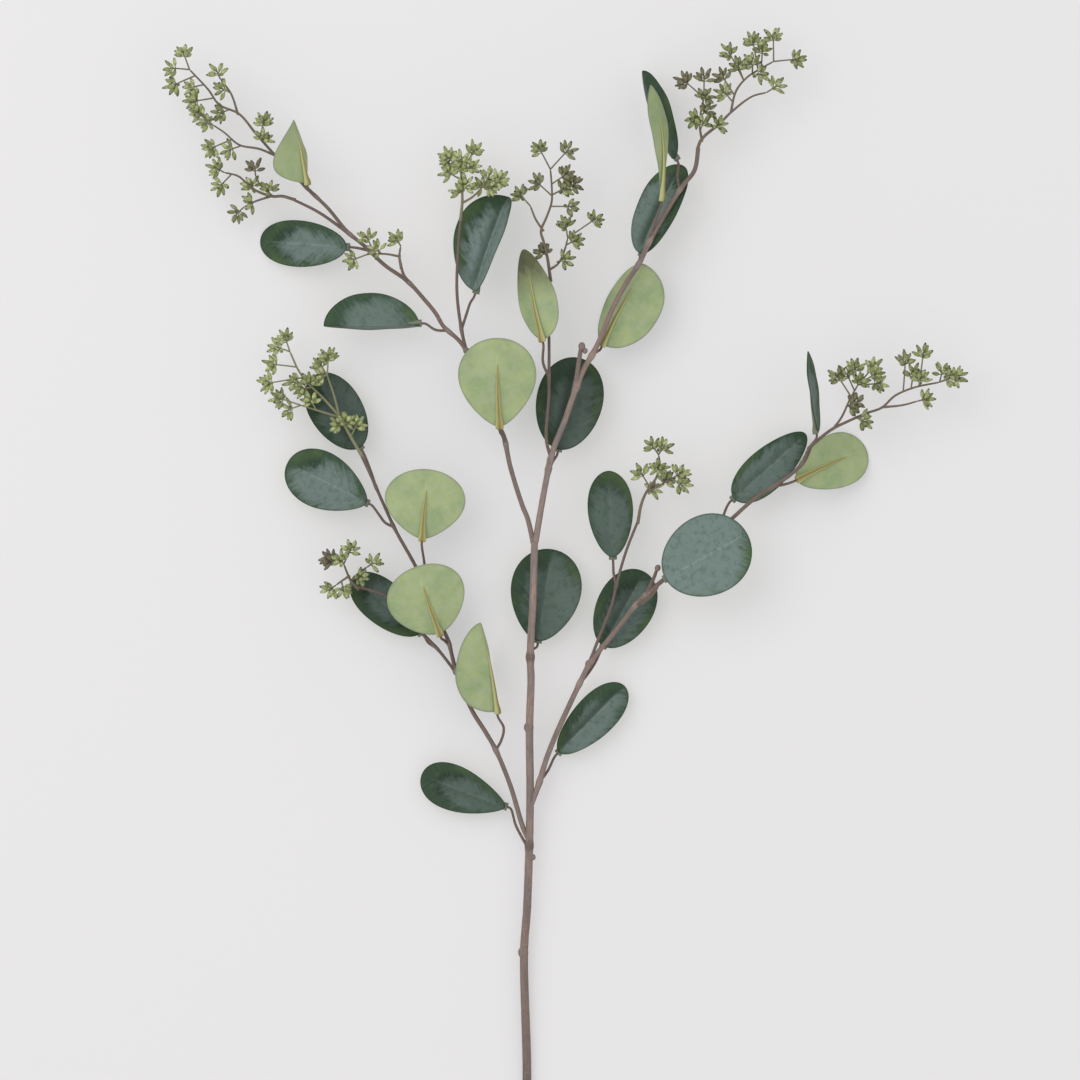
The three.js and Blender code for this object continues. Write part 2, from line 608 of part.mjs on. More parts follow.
// A cluster: a stalk that ends in a low pyramid, with a nut raised from each face of the pyramid
function makeCluster(lines, cluster, index) {
  const foot = tieTo(lines, cluster);
  const crown = new THREE.Vector3(...cluster, foot.z + clusterLift * Math.sin(goldenTurn * index));
  const heading = crown.clone().sub(foot).normalize();
  const side = new THREE.Vector3(-heading.y, heading.x, 0).normalize();
  const lift = new THREE.Vector3().crossVectors(heading, side);
  const lean = THREE.MathUtils.degToRad(nutLean);
  const outward = (j) => {
    const turn = (2 * Math.PI * j) / clusterNuts + index;
    return side.clone().multiplyScalar(Math.cos(turn)).addScaledVector(lift, Math.sin(turn));
  };
  const corners = (centre, radius) =>
    Array.from({ length: clusterNuts }, (_, j) => centre.clone().addScaledVector(outward(j), radius));
  const roots = corners(foot, stalkRadius);
  const shoulders = corners(crown, crownRadius);
  const height = crownRadius * Math.cos(Math.PI / clusterNuts) * Math.tan(lean);
  const peak = crown.clone().addScaledVector(heading, height);
  const triangles = [];
  for (let j = 1; j < clusterNuts - 1; j++) triangles.push([roots[0], roots[j + 1], roots[j]]);
  for (let j = 0; j < clusterNuts; j++) {
    const next = (j + 1) % clusterNuts;
    triangles.push([roots[j], roots[next], shoulders[next]], [roots[j], shoulders[next], shoulders[j]]);
    const ahead = heading.clone().multiplyScalar(Math.cos(lean));
    ahead.addScaledVector(outward(j + 0.5), Math.sin(lean));
    triangles.push(...nutFaces([shoulders[j], shoulders[next], peak], ahead));
  }
  return toSolid(new THREE.BufferGeometry().setFromPoints(triangles.flat()));
}

// A nut raised from a triangular face: it widens to its waist and narrows to its tip
function nutFaces(face, ahead) {
  const middle = new THREE.Vector3().add(face[0]).add(face[1]).add(face[2]).divideScalar(3);
  const waist = face.map((corner) =>
    corner
      .clone()
      .sub(middle)
      .projectOnPlane(ahead)
      .setLength(nutRadius)
      .add(middle)
      .addScaledVector(ahead, nutWaist * nutLength),
  );
  const tip = middle.clone().addScaledVector(ahead, nutLength);
  return [0, 1, 2].flatMap((k) => {
    const next = (k + 1) % 3;
    return [
      [face[k], face[next], waist[next]],
      [face[k], waist[next], waist[k]],
      [waist[k], waist[next], tip],
    ];
  });
}

// The place on the twigs that is nearest to a point
function nearestOn(lines, point) {
  const nearest = (start, end) =>
    new THREE.Line3(start, end).closestPointToPoint(point, true, new THREE.Vector3());
  const places = lines.flatMap((line) => line.slice(1).map((end, i) => nearest(line[i], end)));
  return places.reduce((best, place) => (place.distanceTo(point) < best.distanceTo(point) ? place : best));
}

// A spray: its first twig, set a gap off the wood, the twigs that fork from it, and their clusters
function makeSpray({ twigs, clusters }) {
  const lines = [];
  const solids = twigs.map((twig, i) => {
    const chain = twig.map(toVector);
    if (i === 0) chain[0].addScaledVector(chain[1].clone().sub(chain[0]).normalize(), sprayGap);
    else chain[0] = nearestOn(lines, chain[0]);
    lines.push(ringCentres(chain, twigStep));
    return makeLimb(chain, [twigRadii[i ? 1 : 0], stalkRadius], twigSides, twigStep);
  });
  clusters.forEach((cluster, index) => solids.push(makeCluster(lines, cluster, index)));
  return wasm.Manifold.union(solids);
}

const sprig = new THREE.Group();
sprig.name = "eucalyptus_gum_nut_sprig";
for (const name of Object.keys(wood)) sprig.add(toMesh(name, fitWood(name), bark));
for (const [name, leaf] of Object.entries(leaves))
  sprig.add(toMesh(name, makeLeaf(leaf), leaf.pale ? paleLeaf : darkLeaf));
for (const [name, spray] of Object.entries(sprays)) sprig.add(toMesh(name, makeSpray(spray), nutGreen));

export default sprig;
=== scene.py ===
# A eucalyptus gum nut sprig with silver dollar leaves, lying on a pale floor and seen from straight above.
# Shapes are worked out in millimetres and become metres as they go into their meshes.
# +Y runs up the sprig from its cut end and +Z up from the floor.
import math
import bpy
import numpy as np
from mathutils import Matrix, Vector


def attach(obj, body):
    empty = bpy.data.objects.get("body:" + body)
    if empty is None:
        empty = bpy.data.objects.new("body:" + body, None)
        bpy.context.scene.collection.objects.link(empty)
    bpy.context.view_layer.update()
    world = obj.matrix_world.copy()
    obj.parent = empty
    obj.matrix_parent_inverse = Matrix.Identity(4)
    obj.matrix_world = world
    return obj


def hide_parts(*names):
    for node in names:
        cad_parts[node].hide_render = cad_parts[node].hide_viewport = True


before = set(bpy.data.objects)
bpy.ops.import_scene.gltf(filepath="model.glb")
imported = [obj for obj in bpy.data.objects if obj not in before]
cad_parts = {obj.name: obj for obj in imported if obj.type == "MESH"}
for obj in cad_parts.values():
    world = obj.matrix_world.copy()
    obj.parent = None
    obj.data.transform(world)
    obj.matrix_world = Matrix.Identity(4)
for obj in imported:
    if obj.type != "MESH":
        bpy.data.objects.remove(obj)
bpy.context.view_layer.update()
mm = 0.001
curveSteps = 24  # places between two points of a curve, before it is stepped evenly
random = np.random.default_rng(11)

# The woody pieces: each has a list of limbs with the radii at their two ends, knobs [x, y, z, radius], and
# what the names of the leaves on it start with
wood = {
    "main_stem": {
        "leaves": "leaf_stem",
        "limbs": [
            {"radii": [3.4, 2.65], "points": [
                [0, -15, 2.8], [0, 22, 2.8], [1.4, 75, 4.2], [-0.8, 169, 8], [1.5, 202, 9.6],
                [3.3, 254, 12.5], [3.8, 291, 14.8], [3.3, 339, 17.6], [4.5, 375, 19.8], [4, 393, 21],
                [6, 435, 24], [7.2, 480, 27],
            ]},
        ],
        "knobs": [[-1.4, 169, 8, 4.2], [2.8, 339, 17.6, 4], [6, 241, 12, 2.2]],
    },
    "upper_right_branch": {
        "leaves": "leaf_upper_right",
        "limbs": [
            {"radii": [2.4, 1.6], "points": [
                [8.3, 481.5, 27.2], [16, 525, 30], [21, 547, 31.5], [30, 570, 33], [39, 596, 34.5],
                [44.5, 609, 35.5], [50.5, 619, 36], [56, 630, 36.5], [65, 652, 37], [75, 671, 37],
                [86, 688, 36.5], [93, 703, 36], [105, 724, 35], [118, 745, 34], [127, 757, 33.5],
                [130, 775, 33],
            ]},
            {"radii": [1.3, 1], "points": [
                [20, 540, 31], [16.5, 552, 32], [16, 562, 32.5], [18, 588, 33.5], [18, 602, 35],
                [18, 631, 37], [17, 660, 39], [19, 676, 40],
            ]},
            {"radii": [1.9, 1.6], "points": [
                [38, 595, 34.5], [40, 611, 38], [42, 624, 39.5],
            ]},
        ],
        "knobs": [[42.5, 625, 39.5, 2.8], [45, 621.5, 39.3, 2.1]],
    },
    "upper_left_branch": {
        "leaves": "leaf_upper_left",
        "limbs": [
            {"radii": [1.9, 1.3], "points": [
                [6.5, 476, 26.6], [2, 496, 28], [-2, 506, 28.6], [-11, 535, 30], [-16, 558, 31],
                [-20, 566, 31.2], [-30, 592, 32], [-44, 622, 32.5], [-50, 630, 32.5], [-61, 640, 32],
                [-67, 650, 32], [-76, 661, 31.6], [-88, 674, 31], [-105, 686, 30.5], [-121, 701, 30],
                [-133, 711, 30], [-148, 729, 31], [-165, 745, 32],
            ]},
            {"radii": [1.3, 1], "points": [
                [-131, 709, 30], [-155, 726, 28.5], [-175, 736, 28],
            ]},
            {"radii": [1.3, 1], "points": [
                [-44, 621, 32.5], [-48, 640, 33], [-51, 667, 34], [-49.5, 705, 35], [-48, 722, 36],
            ]},
            {"radii": [1.2, 1], "points": [
                [-87, 673, 31], [-91, 679, 34.5], [-93, 686, 36.5],
            ]},
        ],
        "knobs": [[-44, 622, 32.5, 2.6]],
    },
    "lower_left_branch": {
        "leaves": "leaf_lower_left",
        "limbs": [
            {"radii": [1.9, 1.1], "points": [
                [3, 254, 12.6], [-1, 262, 13], [-11, 295, 15], [-22, 322, 17], [-30, 336, 18],
                [-40, 352, 19], [-52, 382, 21], [-58, 405, 22.5], [-63, 416, 23], [-71, 435, 24],
                [-82, 460, 25], [-97, 487, 26], [-104, 502, 26.5], [-116, 529, 27], [-123, 544, 27.5],
            ]},
            {"radii": [1.2, 1], "points": [
                [-51, 379, 21], [-64, 396, 21.5], [-77, 410, 22], [-103, 437, 23.5], [-115, 442, 24],
                [-127, 445, 24.5],
            ]},
        ],
        "knobs": [[-52, 381, 21, 2.7]],
    },
    "lower_right_branch": {
        "leaves": "leaf_lower_right",
        "limbs": [
            {"radii": [2.2, 1.3], "points": [
                [3.8, 279, 14.2], [10, 295, 15.2], [16, 315, 16.5], [23, 333, 18], [32, 353, 20],
                [40, 370, 21.5], [49, 388, 23], [60, 402, 24], [73, 418, 25.5], [83, 431, 27],
                [94, 442, 28], [105, 451, 29], [131, 474, 31], [154, 495, 33], [172, 511, 34],
                [187, 521, 35], [199, 529, 36], [209, 539, 36.8], [214, 550, 37],
            ]},
            {"radii": [1.2, 1], "points": [
                [48, 387, 23], [58, 413, 25.5], [65, 431, 27], [69, 448, 28], [76, 472, 29.5],
                [85, 495, 31],
            ]},
            {"radii": [1.5, 1.2], "points": [
                [91, 439, 28], [96, 450, 30], [99, 458, 31],
            ]},
        ],
        "knobs": [[99.5, 459, 31, 2.4], [48, 387, 23, 3]],
    },
}

# The leaves: each midrib runs from base to tip; roll lifts the left side and fold both sides, in degrees
leaves = {
    "leaf_stem_1": {
        "petiole": [[1, 250, 12], [-7, 265, 11.5]], "base": [-15, 279, 12], "tip": [-78, 303, 7],
        "width": 34, "skew": 0.6, "taper": 0.15, "roll": -6, "fold": 8, "bow": 3,
    },
    "leaf_stem_2": {
        "petiole": [[4, 392, 21], [5.5, 397, 16.5]], "base": [9.8, 404, 15], "tip": [20.5, 473, 10],
        "width": 54, "skew": 0.2, "taper": 0.2, "fold": 5, "bow": 3,
    },
    "leaf_lower_left_1": {
        "petiole": [[-22, 322, 17], [-18, 329, 20], [-16, 339, 24]], "pale": True, "base": [-22.5, 351, 27],
        "tip": [-34, 418, 33], "width": 57, "skew": -0.4, "roll": 55, "fold": -33, "bow": 2, "point": 0.2,
    },
    "leaf_lower_left_2": {
        "petiole": [[-58, 402, 22.4], [-61, 405, 26.5]], "pale": True, "base": [-64, 410, 30],
        "tip": [-82, 460, 42], "width": 60, "skew": 0.2, "taper": 0.2, "fold": -4, "bow": 2,
    },
    "leaf_lower_left_3": {
        "petiole": [[-70, 431, 24], [-74, 447, 27], [-75.5, 463, 30]], "pale": True, "base": [-77, 481, 34],
        "tip": [-73, 533, 41], "width": 63, "skew": 0.05, "taper": 0.4, "fold": -4, "bow": 2,
    },
    "leaf_lower_left_4": {
        "petiole": [[-67, 399, 21.6], [-73, 403, 18.5]], "base": [-79, 410, 16.5], "tip": [-130, 452, 9],
        "width": 33, "skew": 0.2, "fold": 8, "bow": 2,
    },
    "leaf_lower_left_5": {
        "petiole": [[-99, 490, 26], [-105, 493, 25.5], [-110, 499.5, 25]], "base": [-119, 508, 24],
        "tip": [-179, 538, 12], "width": 44, "skew": 0.2, "taper": 0.3, "fold": 7, "bow": 3,
    },
    "leaf_lower_left_6": {
        "petiole": [[-112, 520, 26.8], [-116, 532, 23]], "base": [-124, 549.5, 18.5], "tip": [-159, 604, 7],
        "width": 40, "skew": 0.1, "fold": 7, "bow": 2,
    },
    "leaf_lower_right_1": {
        "petiole": [[11, 298, 15.4], [17, 306, 14]], "base": [25.5, 320, 12.5], "tip": [75, 370, 9],
        "width": 31, "skew": 0.35, "fold": 6, "bow": 2,
    },
    "leaf_lower_right_2": {
        "petiole": [[41, 372, 21.7], [47, 379, 19], [53, 388, 17]], "base": [59, 400, 15.5],
        "tip": [90, 456, 10], "width": 43, "skew": 0.2, "fold": 6, "bow": 2,
    },
    "leaf_lower_right_3": {
        "petiole": [[83, 431, 27], [90, 434, 34], [97, 441, 38.5]], "base": [105, 451, 40.5],
        "tip": [166, 485, 43], "width": 60, "skew": 0.15, "fold": 4, "bow": 3,
    },
    "leaf_lower_right_4": {
        "petiole": [[68.5, 446, 28], [66.5, 455, 27]], "base": [66, 467, 26], "tip": [62.5, 532, 19],
        "width": 34, "point": 0.1, "skew": 0.3, "fold": 8, "bow": 3,
    },
    "leaf_lower_right_5": {
        "petiole": [[146, 488, 32.3], [149.5, 500, 28]], "base": [157, 511, 24], "tip": [211.5, 560, 9],
        "width": 31, "skew": -0.4, "roll": 6, "fold": 7, "bow": 2,
    },
    "leaf_lower_right_6": {
        "petiole": [[186, 520.3, 35], [194, 521.5, 33.3]], "pale": True, "rests": True,
        "base": [204, 525, 30], "tip": [257, 550, 4], "width": 40, "skew": 0.5, "roll": -4, "fold": -4,
        "bow": 2,
    },
    "leaf_lower_right_7": {
        "petiole": [[208, 537, 36.7], [212, 548, 41]], "base": [219.5, 561, 44], "tip": [211.5, 621, 46],
        "width": 30, "roll": 74, "fold": 6, "bow": -1, "point": 0.5,
    },
    "leaf_upper_left_1": {
        "petiole": [[-15, 552, 30.8], [-17, 558, 35.5]], "pale": True, "base": [-19, 565, 38],
        "tip": [-22, 631, 45], "width": 60, "skew": 0.2, "taper": 0.35, "fold": -4, "bow": 3,
    },
    "leaf_upper_left_2": {
        "petiole": [[-47.5, 638, 33], [-44, 649, 31], [-41, 658, 28.5]], "base": [-38, 667, 26],
        "tip": [-13, 738, 22], "width": 54, "skew": 0.3, "roll": -34, "fold": 38, "bow": 2, "curl": 2,
    },
    "leaf_upper_left_3": {
        "petiole": [[-57, 637, 32], [-67, 637.5, 32.5]], "base": [-79, 641, 33], "tip": [-151, 641, 31],
        "width": 52, "skew": 0.1, "roll": -38, "fold": -50, "bow": 1, "point": 0.1,
    },
    "leaf_upper_left_4": {
        "petiole": [[-117, 697, 30.2], [-125, 699, 28]], "rests": True, "base": [-134, 700, 25.5],
        "tip": [-200, 706, 3], "width": 35, "skew": 0.2, "roll": -4, "fold": 5, "bow": 3,
    },
    "leaf_upper_left_5": {
        "petiole": [[-157, 738, 31.6], [-161, 742, 36]], "pale": True, "base": [-164.5, 747, 39],
        "tip": [-173, 794, 44], "width": 42, "skew": -1.2, "roll": 50, "fold": -33, "bow": 1, "point": 0.7,
    },
    "leaf_upper_right_1": {
        "petiole": [[18, 533, 30.5], [21, 539, 27]], "base": [25, 548, 24], "tip": [41, 617, 15],
        "width": 50, "skew": 0.15, "fold": 5, "bow": 3,
    },
    "leaf_upper_right_2": {
        "petiole": [[18, 602, 35], [13.5, 613, 39]], "pale": True, "base": [14, 630, 43],
        "tip": [-1, 697, 49], "width": 34, "skew": -0.6, "roll": -34, "fold": -17, "bow": 1, "point": 0.15,
    },
    "leaf_upper_right_3": {
        "petiole": [[50, 618, 35.8], [53, 620.5, 31]], "pale": True, "base": [59, 626, 28],
        "tip": [90, 687, 26], "width": 58, "skew": 0.2, "roll": -28, "fold": -36, "bow": 2,
    },
    "leaf_upper_right_4": {
        "petiole": [[85, 686, 36.5], [88, 690, 31]], "base": [86.5, 695, 27], "tip": [118, 762, 19],
        "width": 37, "skew": 0.1, "roll": -33, "fold": 12, "bow": 2,
    },
    "leaf_upper_right_5": {
        "petiole": [[116, 742, 34.2], [114.5, 752, 31]], "base": [112, 766, 26], "tip": [88.5, 833, 18],
        "width": 32, "roll": -60, "fold": -23, "bow": 3, "point": 0.2,
    },
    "leaf_upper_right_6": {
        "petiole": [[93, 703, 36], [96.5, 716, 38]], "pale": True, "base": [100.5, 735, 40],
        "tip": [94, 820, 46], "width": 24, "skew": 1.3, "taper": 0.3, "roll": 60, "fold": -6, "bow": 6,
        "point": 0.7,
    },
}

# The sprays: chains of places for the twigs, where all but the first fork from another, and clusters [x, y]
sprays = {
    "nut_spray_upper_left_tip": {
        "twigs": [
            [[-165, 745, 32], [-176, 757, 33], [-187, 768, 34], [-202, 785, 35], [-214, 799, 36],
             [-229, 806, 37], [-237, 817, 38], [-251, 832, 39]],
            [[-187, 768, 34], [-199, 773, 34], [-214, 776, 35], [-225, 785, 36], [-234, 791, 37]],
            [[-214, 799, 36], [-220, 814, 38], [-228, 825, 40]],
        ],
        "clusters": [
            [-256, 846], [-266, 833], [-265, 820], [-251, 818], [-250, 808], [-231, 832], [-228, 818],
            [-240, 793], [-195, 795], [-196, 781], [-237, 773], [-223, 771], [-246, 801], [-230, 799],
        ],
    },
    "nut_spray_upper_left_low": {
        "twigs": [
            [[-175, 736, 28], [-182, 738, 27.6], [-190, 738, 27], [-205, 744, 26], [-215, 753, 26],
             [-226, 756, 26]],
            [[-190, 738, 27], [-199, 747, 28], [-202, 753, 29]],
            [[-190, 738, 27], [-203, 734, 26], [-211, 730, 25]],
        ],
        "clusters": [
            [-233, 760], [-203, 761], [-206, 748], [-230, 744], [-207, 733], [-218, 724], [-192, 744],
        ],
    },
    "nut_spray_upper_left_side": {
        "twigs": [
            [[-93, 686, 36.5], [-94, 692, 38], [-93, 700, 39]],
            [[-94, 692, 38], [-104, 694, 39], [-117, 694, 40]],
        ],
        "clusters": [
            [-97, 707], [-119, 708], [-131, 689], [-112, 699],
        ],
    },
    "nut_spray_upper_left_inner": {
        "twigs": [
            [[-48, 722, 36], [-47, 732, 37], [-47, 742, 38], [-48, 756, 40]],
            [[-47, 732, 37], [-39, 737, 37], [-32, 744, 38]],
        ],
        "clusters": [
            [-59, 768], [-47, 767], [-37, 773], [-48, 758], [-50, 742], [-26, 754], [-17, 750],
            [-32, 746], [-59, 756], [-38, 760], [-53, 762], [-43, 747], [-23, 744],
        ],
    },
    "nut_spray_centre": {
        "twigs": [
            [[19, 676, 40], [17, 690, 40], [14, 703, 41], [12, 711, 41], [16, 721, 42], [20, 733, 43],
             [20, 745, 44], [19, 757, 45]],
            [[12, 711, 41], [8, 720, 40], [4, 730, 39]],
            [[18, 682, 40], [25, 687, 39], [30, 698, 39], [32, 706, 39]],
        ],
        "clusters": [
            [10, 774], [33, 772], [-5, 740], [8, 748], [32, 754], [39, 747], [36, 729], [30, 718],
            [54, 721], [39, 705], [12, 697], [32, 690], [31, 744],
        ],
    },
    "nut_spray_upper_right_tip": {
        "twigs": [
            [[130, 775, 33], [131.5, 779, 33.3], [136, 784, 34], [145, 791, 35], [154, 800, 36],
             [170, 812, 37], [181, 815, 38]],
            [[154, 800, 36], [158, 816, 38], [166, 826, 39], [177, 833, 40], [186, 838, 40]],
            [[132.5, 778.5, 33.5], [131, 790, 34], [132, 802, 35], [134, 811, 36]],
        ],
        "clusters": [
            [118, 825], [134, 828], [147, 829], [135, 812], [148, 817], [125, 796], [146, 791],
            [152, 847], [159, 836], [170, 855], [186, 859], [170, 839], [205, 840], [190, 821],
            [178, 828], [178, 849], [134, 794], [138, 803],
        ],
    },
    "nut_spray_lower_left_tip": {
        "twigs": [
            [[-123, 544, 27.5], [-131, 558, 30], [-139, 572, 32], [-150, 585, 34], [-161, 596, 35],
             [-169, 606, 36], [-176, 621, 37]],
            [[-139, 572, 32], [-143, 588, 35], [-148, 603, 37]],
            [[-139, 572, 32], [-155, 577, 33], [-168, 581, 33]],
        ],
        "clusters": [
            [-180, 633], [-187, 625], [-191, 612], [-194, 597], [-186, 587], [-179, 577], [-175, 598],
            [-154, 613], [-147, 619], [-161, 599], [-133, 571], [-161, 586], [-169, 593], [-154, 603],
            [-142, 567], [-125, 569],
        ],
    },
    "nut_spray_lower_left_side": {
        "twigs": [
            [[-127, 445, 24.5], [-130, 448, 25], [-133, 454, 26], [-136, 462, 28]],
            [[-132, 453, 26], [-138, 449, 26], [-142, 446, 26]],
            [[-130, 450, 25.5], [-124, 456, 27], [-118, 460, 28]],
        ],
        "clusters": [
            [-149, 466], [-139, 467], [-130, 475], [-112, 464], [-148, 442], [-136, 440], [-122, 452],
        ],
    },
    "nut_spray_lower_right_inner": {
        "twigs": [
            [[85, 495, 31], [87, 506, 32], [91, 516, 33], [98, 526, 35], [101, 536, 36], [100, 544, 37]],
            [[91, 516, 33], [101, 521, 34], [110, 526, 34]],
        ],
        "clusters": [
            [94, 552], [105, 551], [86, 532], [100, 534], [118, 531], [96, 518], [119, 520], [107, 527],
        ],
    },
    "nut_spray_lower_right_tip": {
        "twigs": [
            [[214, 550, 37], [222, 557, 38], [230, 563, 38], [240, 568, 38], [256, 575, 38],
             [267, 579, 38], [277, 588, 39], [291, 594, 40], [310, 598, 41]],
            [[230, 563, 38], [237, 572, 39], [243, 585, 40], [249, 596, 41]],
            [[267, 579, 38], [283, 581, 38], [294, 584, 38]],
        ],
        "clusters": [
            [233, 604], [246, 611], [262, 611], [251, 599], [266, 597], [250, 584], [255, 568],
            [285, 616], [298, 621], [296, 603], [313, 608], [325, 603], [302, 586], [240, 606],
            [263, 605], [291, 607], [319, 602], [245, 580],
        ],
    },
}


def unit(vectors):
    return vectors / np.linalg.norm(vectors, axis=-1, keepdims=True)


def displayColor(red, green, blue):  # 0 to 255 as seen on a screen, turned into the renderer's linear light
    shares = np.array([red, green, blue]) / 255
    light = np.where(shares > 0.04045, ((shares + 0.055) / 1.055) ** 2.4, shares / 12.92)
    return (*light.tolist(), 1.0)


# A centripetal Catmull-Rom curve through the points, as places a step apart. Between two points it is a cubic
# that leaves and arrives with the velocities of the parabolas through three neighbours, where the time from
# one point to the next is the square root of their distance.
def smoothPath(points, step):
    knots = np.array(points, float)
    knots = np.vstack([2 * knots[0] - knots[1], knots, 2 * knots[-1] - knots[-2]])
    times = np.sqrt(np.linalg.norm(np.diff(knots, axis=0), axis=1))[:, None]
    before, start, end, after = knots[:-3], knots[1:-2], knots[2:-1], knots[3:]
    early, middle, late = times[:-2], times[1:-1], times[2:]
    leave = middle * ((start - before) / early - (end - before) / (early + middle)) + end - start
    arrive = middle * ((after - end) / late - (after - start) / (middle + late)) + end - start
    t = np.linspace(0, 1, curveSteps, endpoint=False)[:, None, None]
    dense = (
        start + leave * t + (3 * (end - start) - 2 * leave - arrive) * t**2
        + (2 * (start - end) + leave + arrive) * t**3
    )
    dense = np.vstack([dense.transpose(1, 0, 2).reshape(-1, 3), knots[-2]])
    reach = distanceAlong(dense)
    even = np.linspace(0, reach[-1], max(1, round(reach[-1] / step)) + 1)
    return np.stack([np.interp(even, reach, dense[:, axis]) for axis in range(3)], axis=1)


def distanceAlong(path):
    return np.append(0, np.cumsum(np.linalg.norm(np.diff(path, axis=0), axis=1)))


# Gathers surfaces into one mesh, with named vectors at its vertices for the finishes to read
class Shape:
    def __init__(self, *valueNames):
        self.places = []
        self.faces = []
        self.slots = []
        self.values = {name: [] for name in valueNames}
        self.count = 0

    def add(self, places, blocks, slot=0, **values):
        self.places.append(places.reshape(-1, 3))
        size = len(self.places[-1])
        for block in blocks:
            self.faces += (block + self.count).tolist()
            self.slots += [slot] * len(block)
        for name, gathered in self.values.items():
            value = np.asarray(values.get(name, (0, 0, 0)), float)
            gathered.append(np.broadcast_to(value, (size, 3)))
        self.count += size

    # Stretches the heights about the top, so that the lowest place meets the floor
    def rest(self, top):
        places = np.vstack(self.places)
        places[:, 2] = top + (places[:, 2] - top) * top / (top - places[:, 2].min())
        self.places = [places]

    # Makes the piece, which is flat where it lies on the floor
    def finish(self, node, slot, finishes):
        places = np.vstack(self.places)
        places[:, 2] = np.maximum(places[:, 2], 0)
        mesh = bpy.data.meshes.new(node + "_looks")
        mesh.from_pydata(places * mm, [], self.faces)
        mesh.polygons.foreach_set("material_index", np.array(self.slots, np.int32))
        mesh.shade_smooth()
        for name, gathered in self.values.items():
            attribute = mesh.attributes.new(name, "FLOAT_VECTOR", "POINT")
            attribute.data.foreach_set("vector", np.vstack(gathered).astype(np.float32).ravel())
        for finish in finishes:
            mesh.materials.append(finish)
        piece = bpy.data.objects.new(node + "_looks", mesh)
        bpy.context.scene.collection.objects.link(piece)
        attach(piece, "root")
        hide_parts(node)


# The quads between rings of places, where each ring closes on itself
def ringQuads(rings, sides):
    row = np.arange(rings - 1)[:, None] * sides
    here = np.arange(sides)
    there = np.roll(here, -1)
    return np.stack([row + here, row + there, row + sides + there, row + sides + here], -1).reshape(-1, 4)


# A round limb: place = path + radius x (cos(turn) x side + flatness x sin(turn) x lift), where side is square
# to the path and to upward, and lift is square to both. Each end is closed by one flat face.
def sweep(path, radius, sides, upward=(0, 0, 1), flatness=1):
    heading = unit(np.gradient(path, axis=0))
    side = unit(np.cross(upward, heading))
    lift = np.cross(heading, side)
    turn = np.arange(sides) * 2 * np.pi / sides
    around = np.cos(turn)[:, None] * side[:, None] + flatness * np.sin(turn)[:, None] * lift[:, None]
    radius = np.reshape(radius, (len(path), -1, 1))
    caps = np.stack([np.arange(sides)[::-1], np.arange(sides) + (len(path) - 1) * sides])
    return path[:, None] + radius * around, [ringQuads(len(path), sides), caps]


# The vectors that make a grain run along a limb: distance along it, and the cosine and sine of the turn
def grainOf(path, sides):
    turn = np.arange(sides) * 2 * np.pi / sides
    grain = np.empty((len(path), sides, 3))
    grain[..., 0] = distanceAlong(path)[:, None]
    grain[..., 1] = np.cos(turn)
    grain[..., 2] = np.sin(turn)
    return grain.reshape(-1, 3)


# A socket of a finish's nodes, with which formulas are written as Python
class Wire:
    def __init__(self, tree, socket=None):
        self.tree = tree
        self.socket = socket

    def node(self, kind, settings, inputs, output=0):
        made = self.tree.nodes.new(kind)
        for name, value in settings.items():
            setattr(made, name, value)
        for key, value in inputs.items():
            if isinstance(value, Wire):
                self.tree.links.new(value.socket, made.inputs[key])
            else:
                made.inputs[key].default_value = value
        return Wire(self.tree, made.outputs[output])

    def math(self, operation, *values):
        return self.node("ShaderNodeMath", {"operation": operation}, dict(enumerate(values)))

    def __add__(self, other):
        return self.math("ADD", self, other)

    def __radd__(self, other):
        return self.math("ADD", other, self)

    def __sub__(self, other):
        return self.math("SUBTRACT", self, other)

    def __rsub__(self, other):
        return self.math("SUBTRACT", other, self)

    def __mul__(self, other):
        return self.math("MULTIPLY", self, other)

    def __rmul__(self, other):
        return self.math("MULTIPLY", other, self)

    def __truediv__(self, other):
        return self.math("DIVIDE", self, other)

    def __abs__(self):
        return self.math("ABSOLUTE", self)

    def ramp(self, low, high):  # rises smoothly from 0 at low to 1 at high
        settings = {"interpolation_type": "SMOOTHSTEP"}
        return self.node("ShaderNodeMapRange", settings, {"Value": self, "From Min": low, "From Max": high})

    def parts(self):
        split = self.node("ShaderNodeSeparateXYZ", {}, {0: self}).socket.node
        return [Wire(self.tree, output) for output in split.outputs]

    def values(self, name):  # the three numbers that a mesh carries at each vertex
        return self.node("ShaderNodeAttribute", {"attribute_name": name}, {}, 1).parts()

    def vector(self, x, y, z):
        return self.node("ShaderNodeCombineXYZ", {}, {0: x, 1: y, 2: z})

    def noise(self, place, scale, detail=2, roughness=0.5):
        inputs = {"Vector": place, "Scale": scale, "Detail": detail, "Roughness": roughness}
        return self.node("ShaderNodeTexNoise", {}, inputs)

    def blend(self, share, first, second):  # a colour between two colours
        return self.node("ShaderNodeMix", {"data_type": "RGBA"}, {0: share, 6: first, 7: second}, 2)

    def lighten(self, color, value):
        return self.node("ShaderNodeHueSaturation", {}, {"Color": color, "Value": value})

    def bump(self, height, distance, strength=1):
        inputs = {"Height": height, "Distance": distance, "Strength": strength}
        return self.node("ShaderNodeBump", {}, inputs)


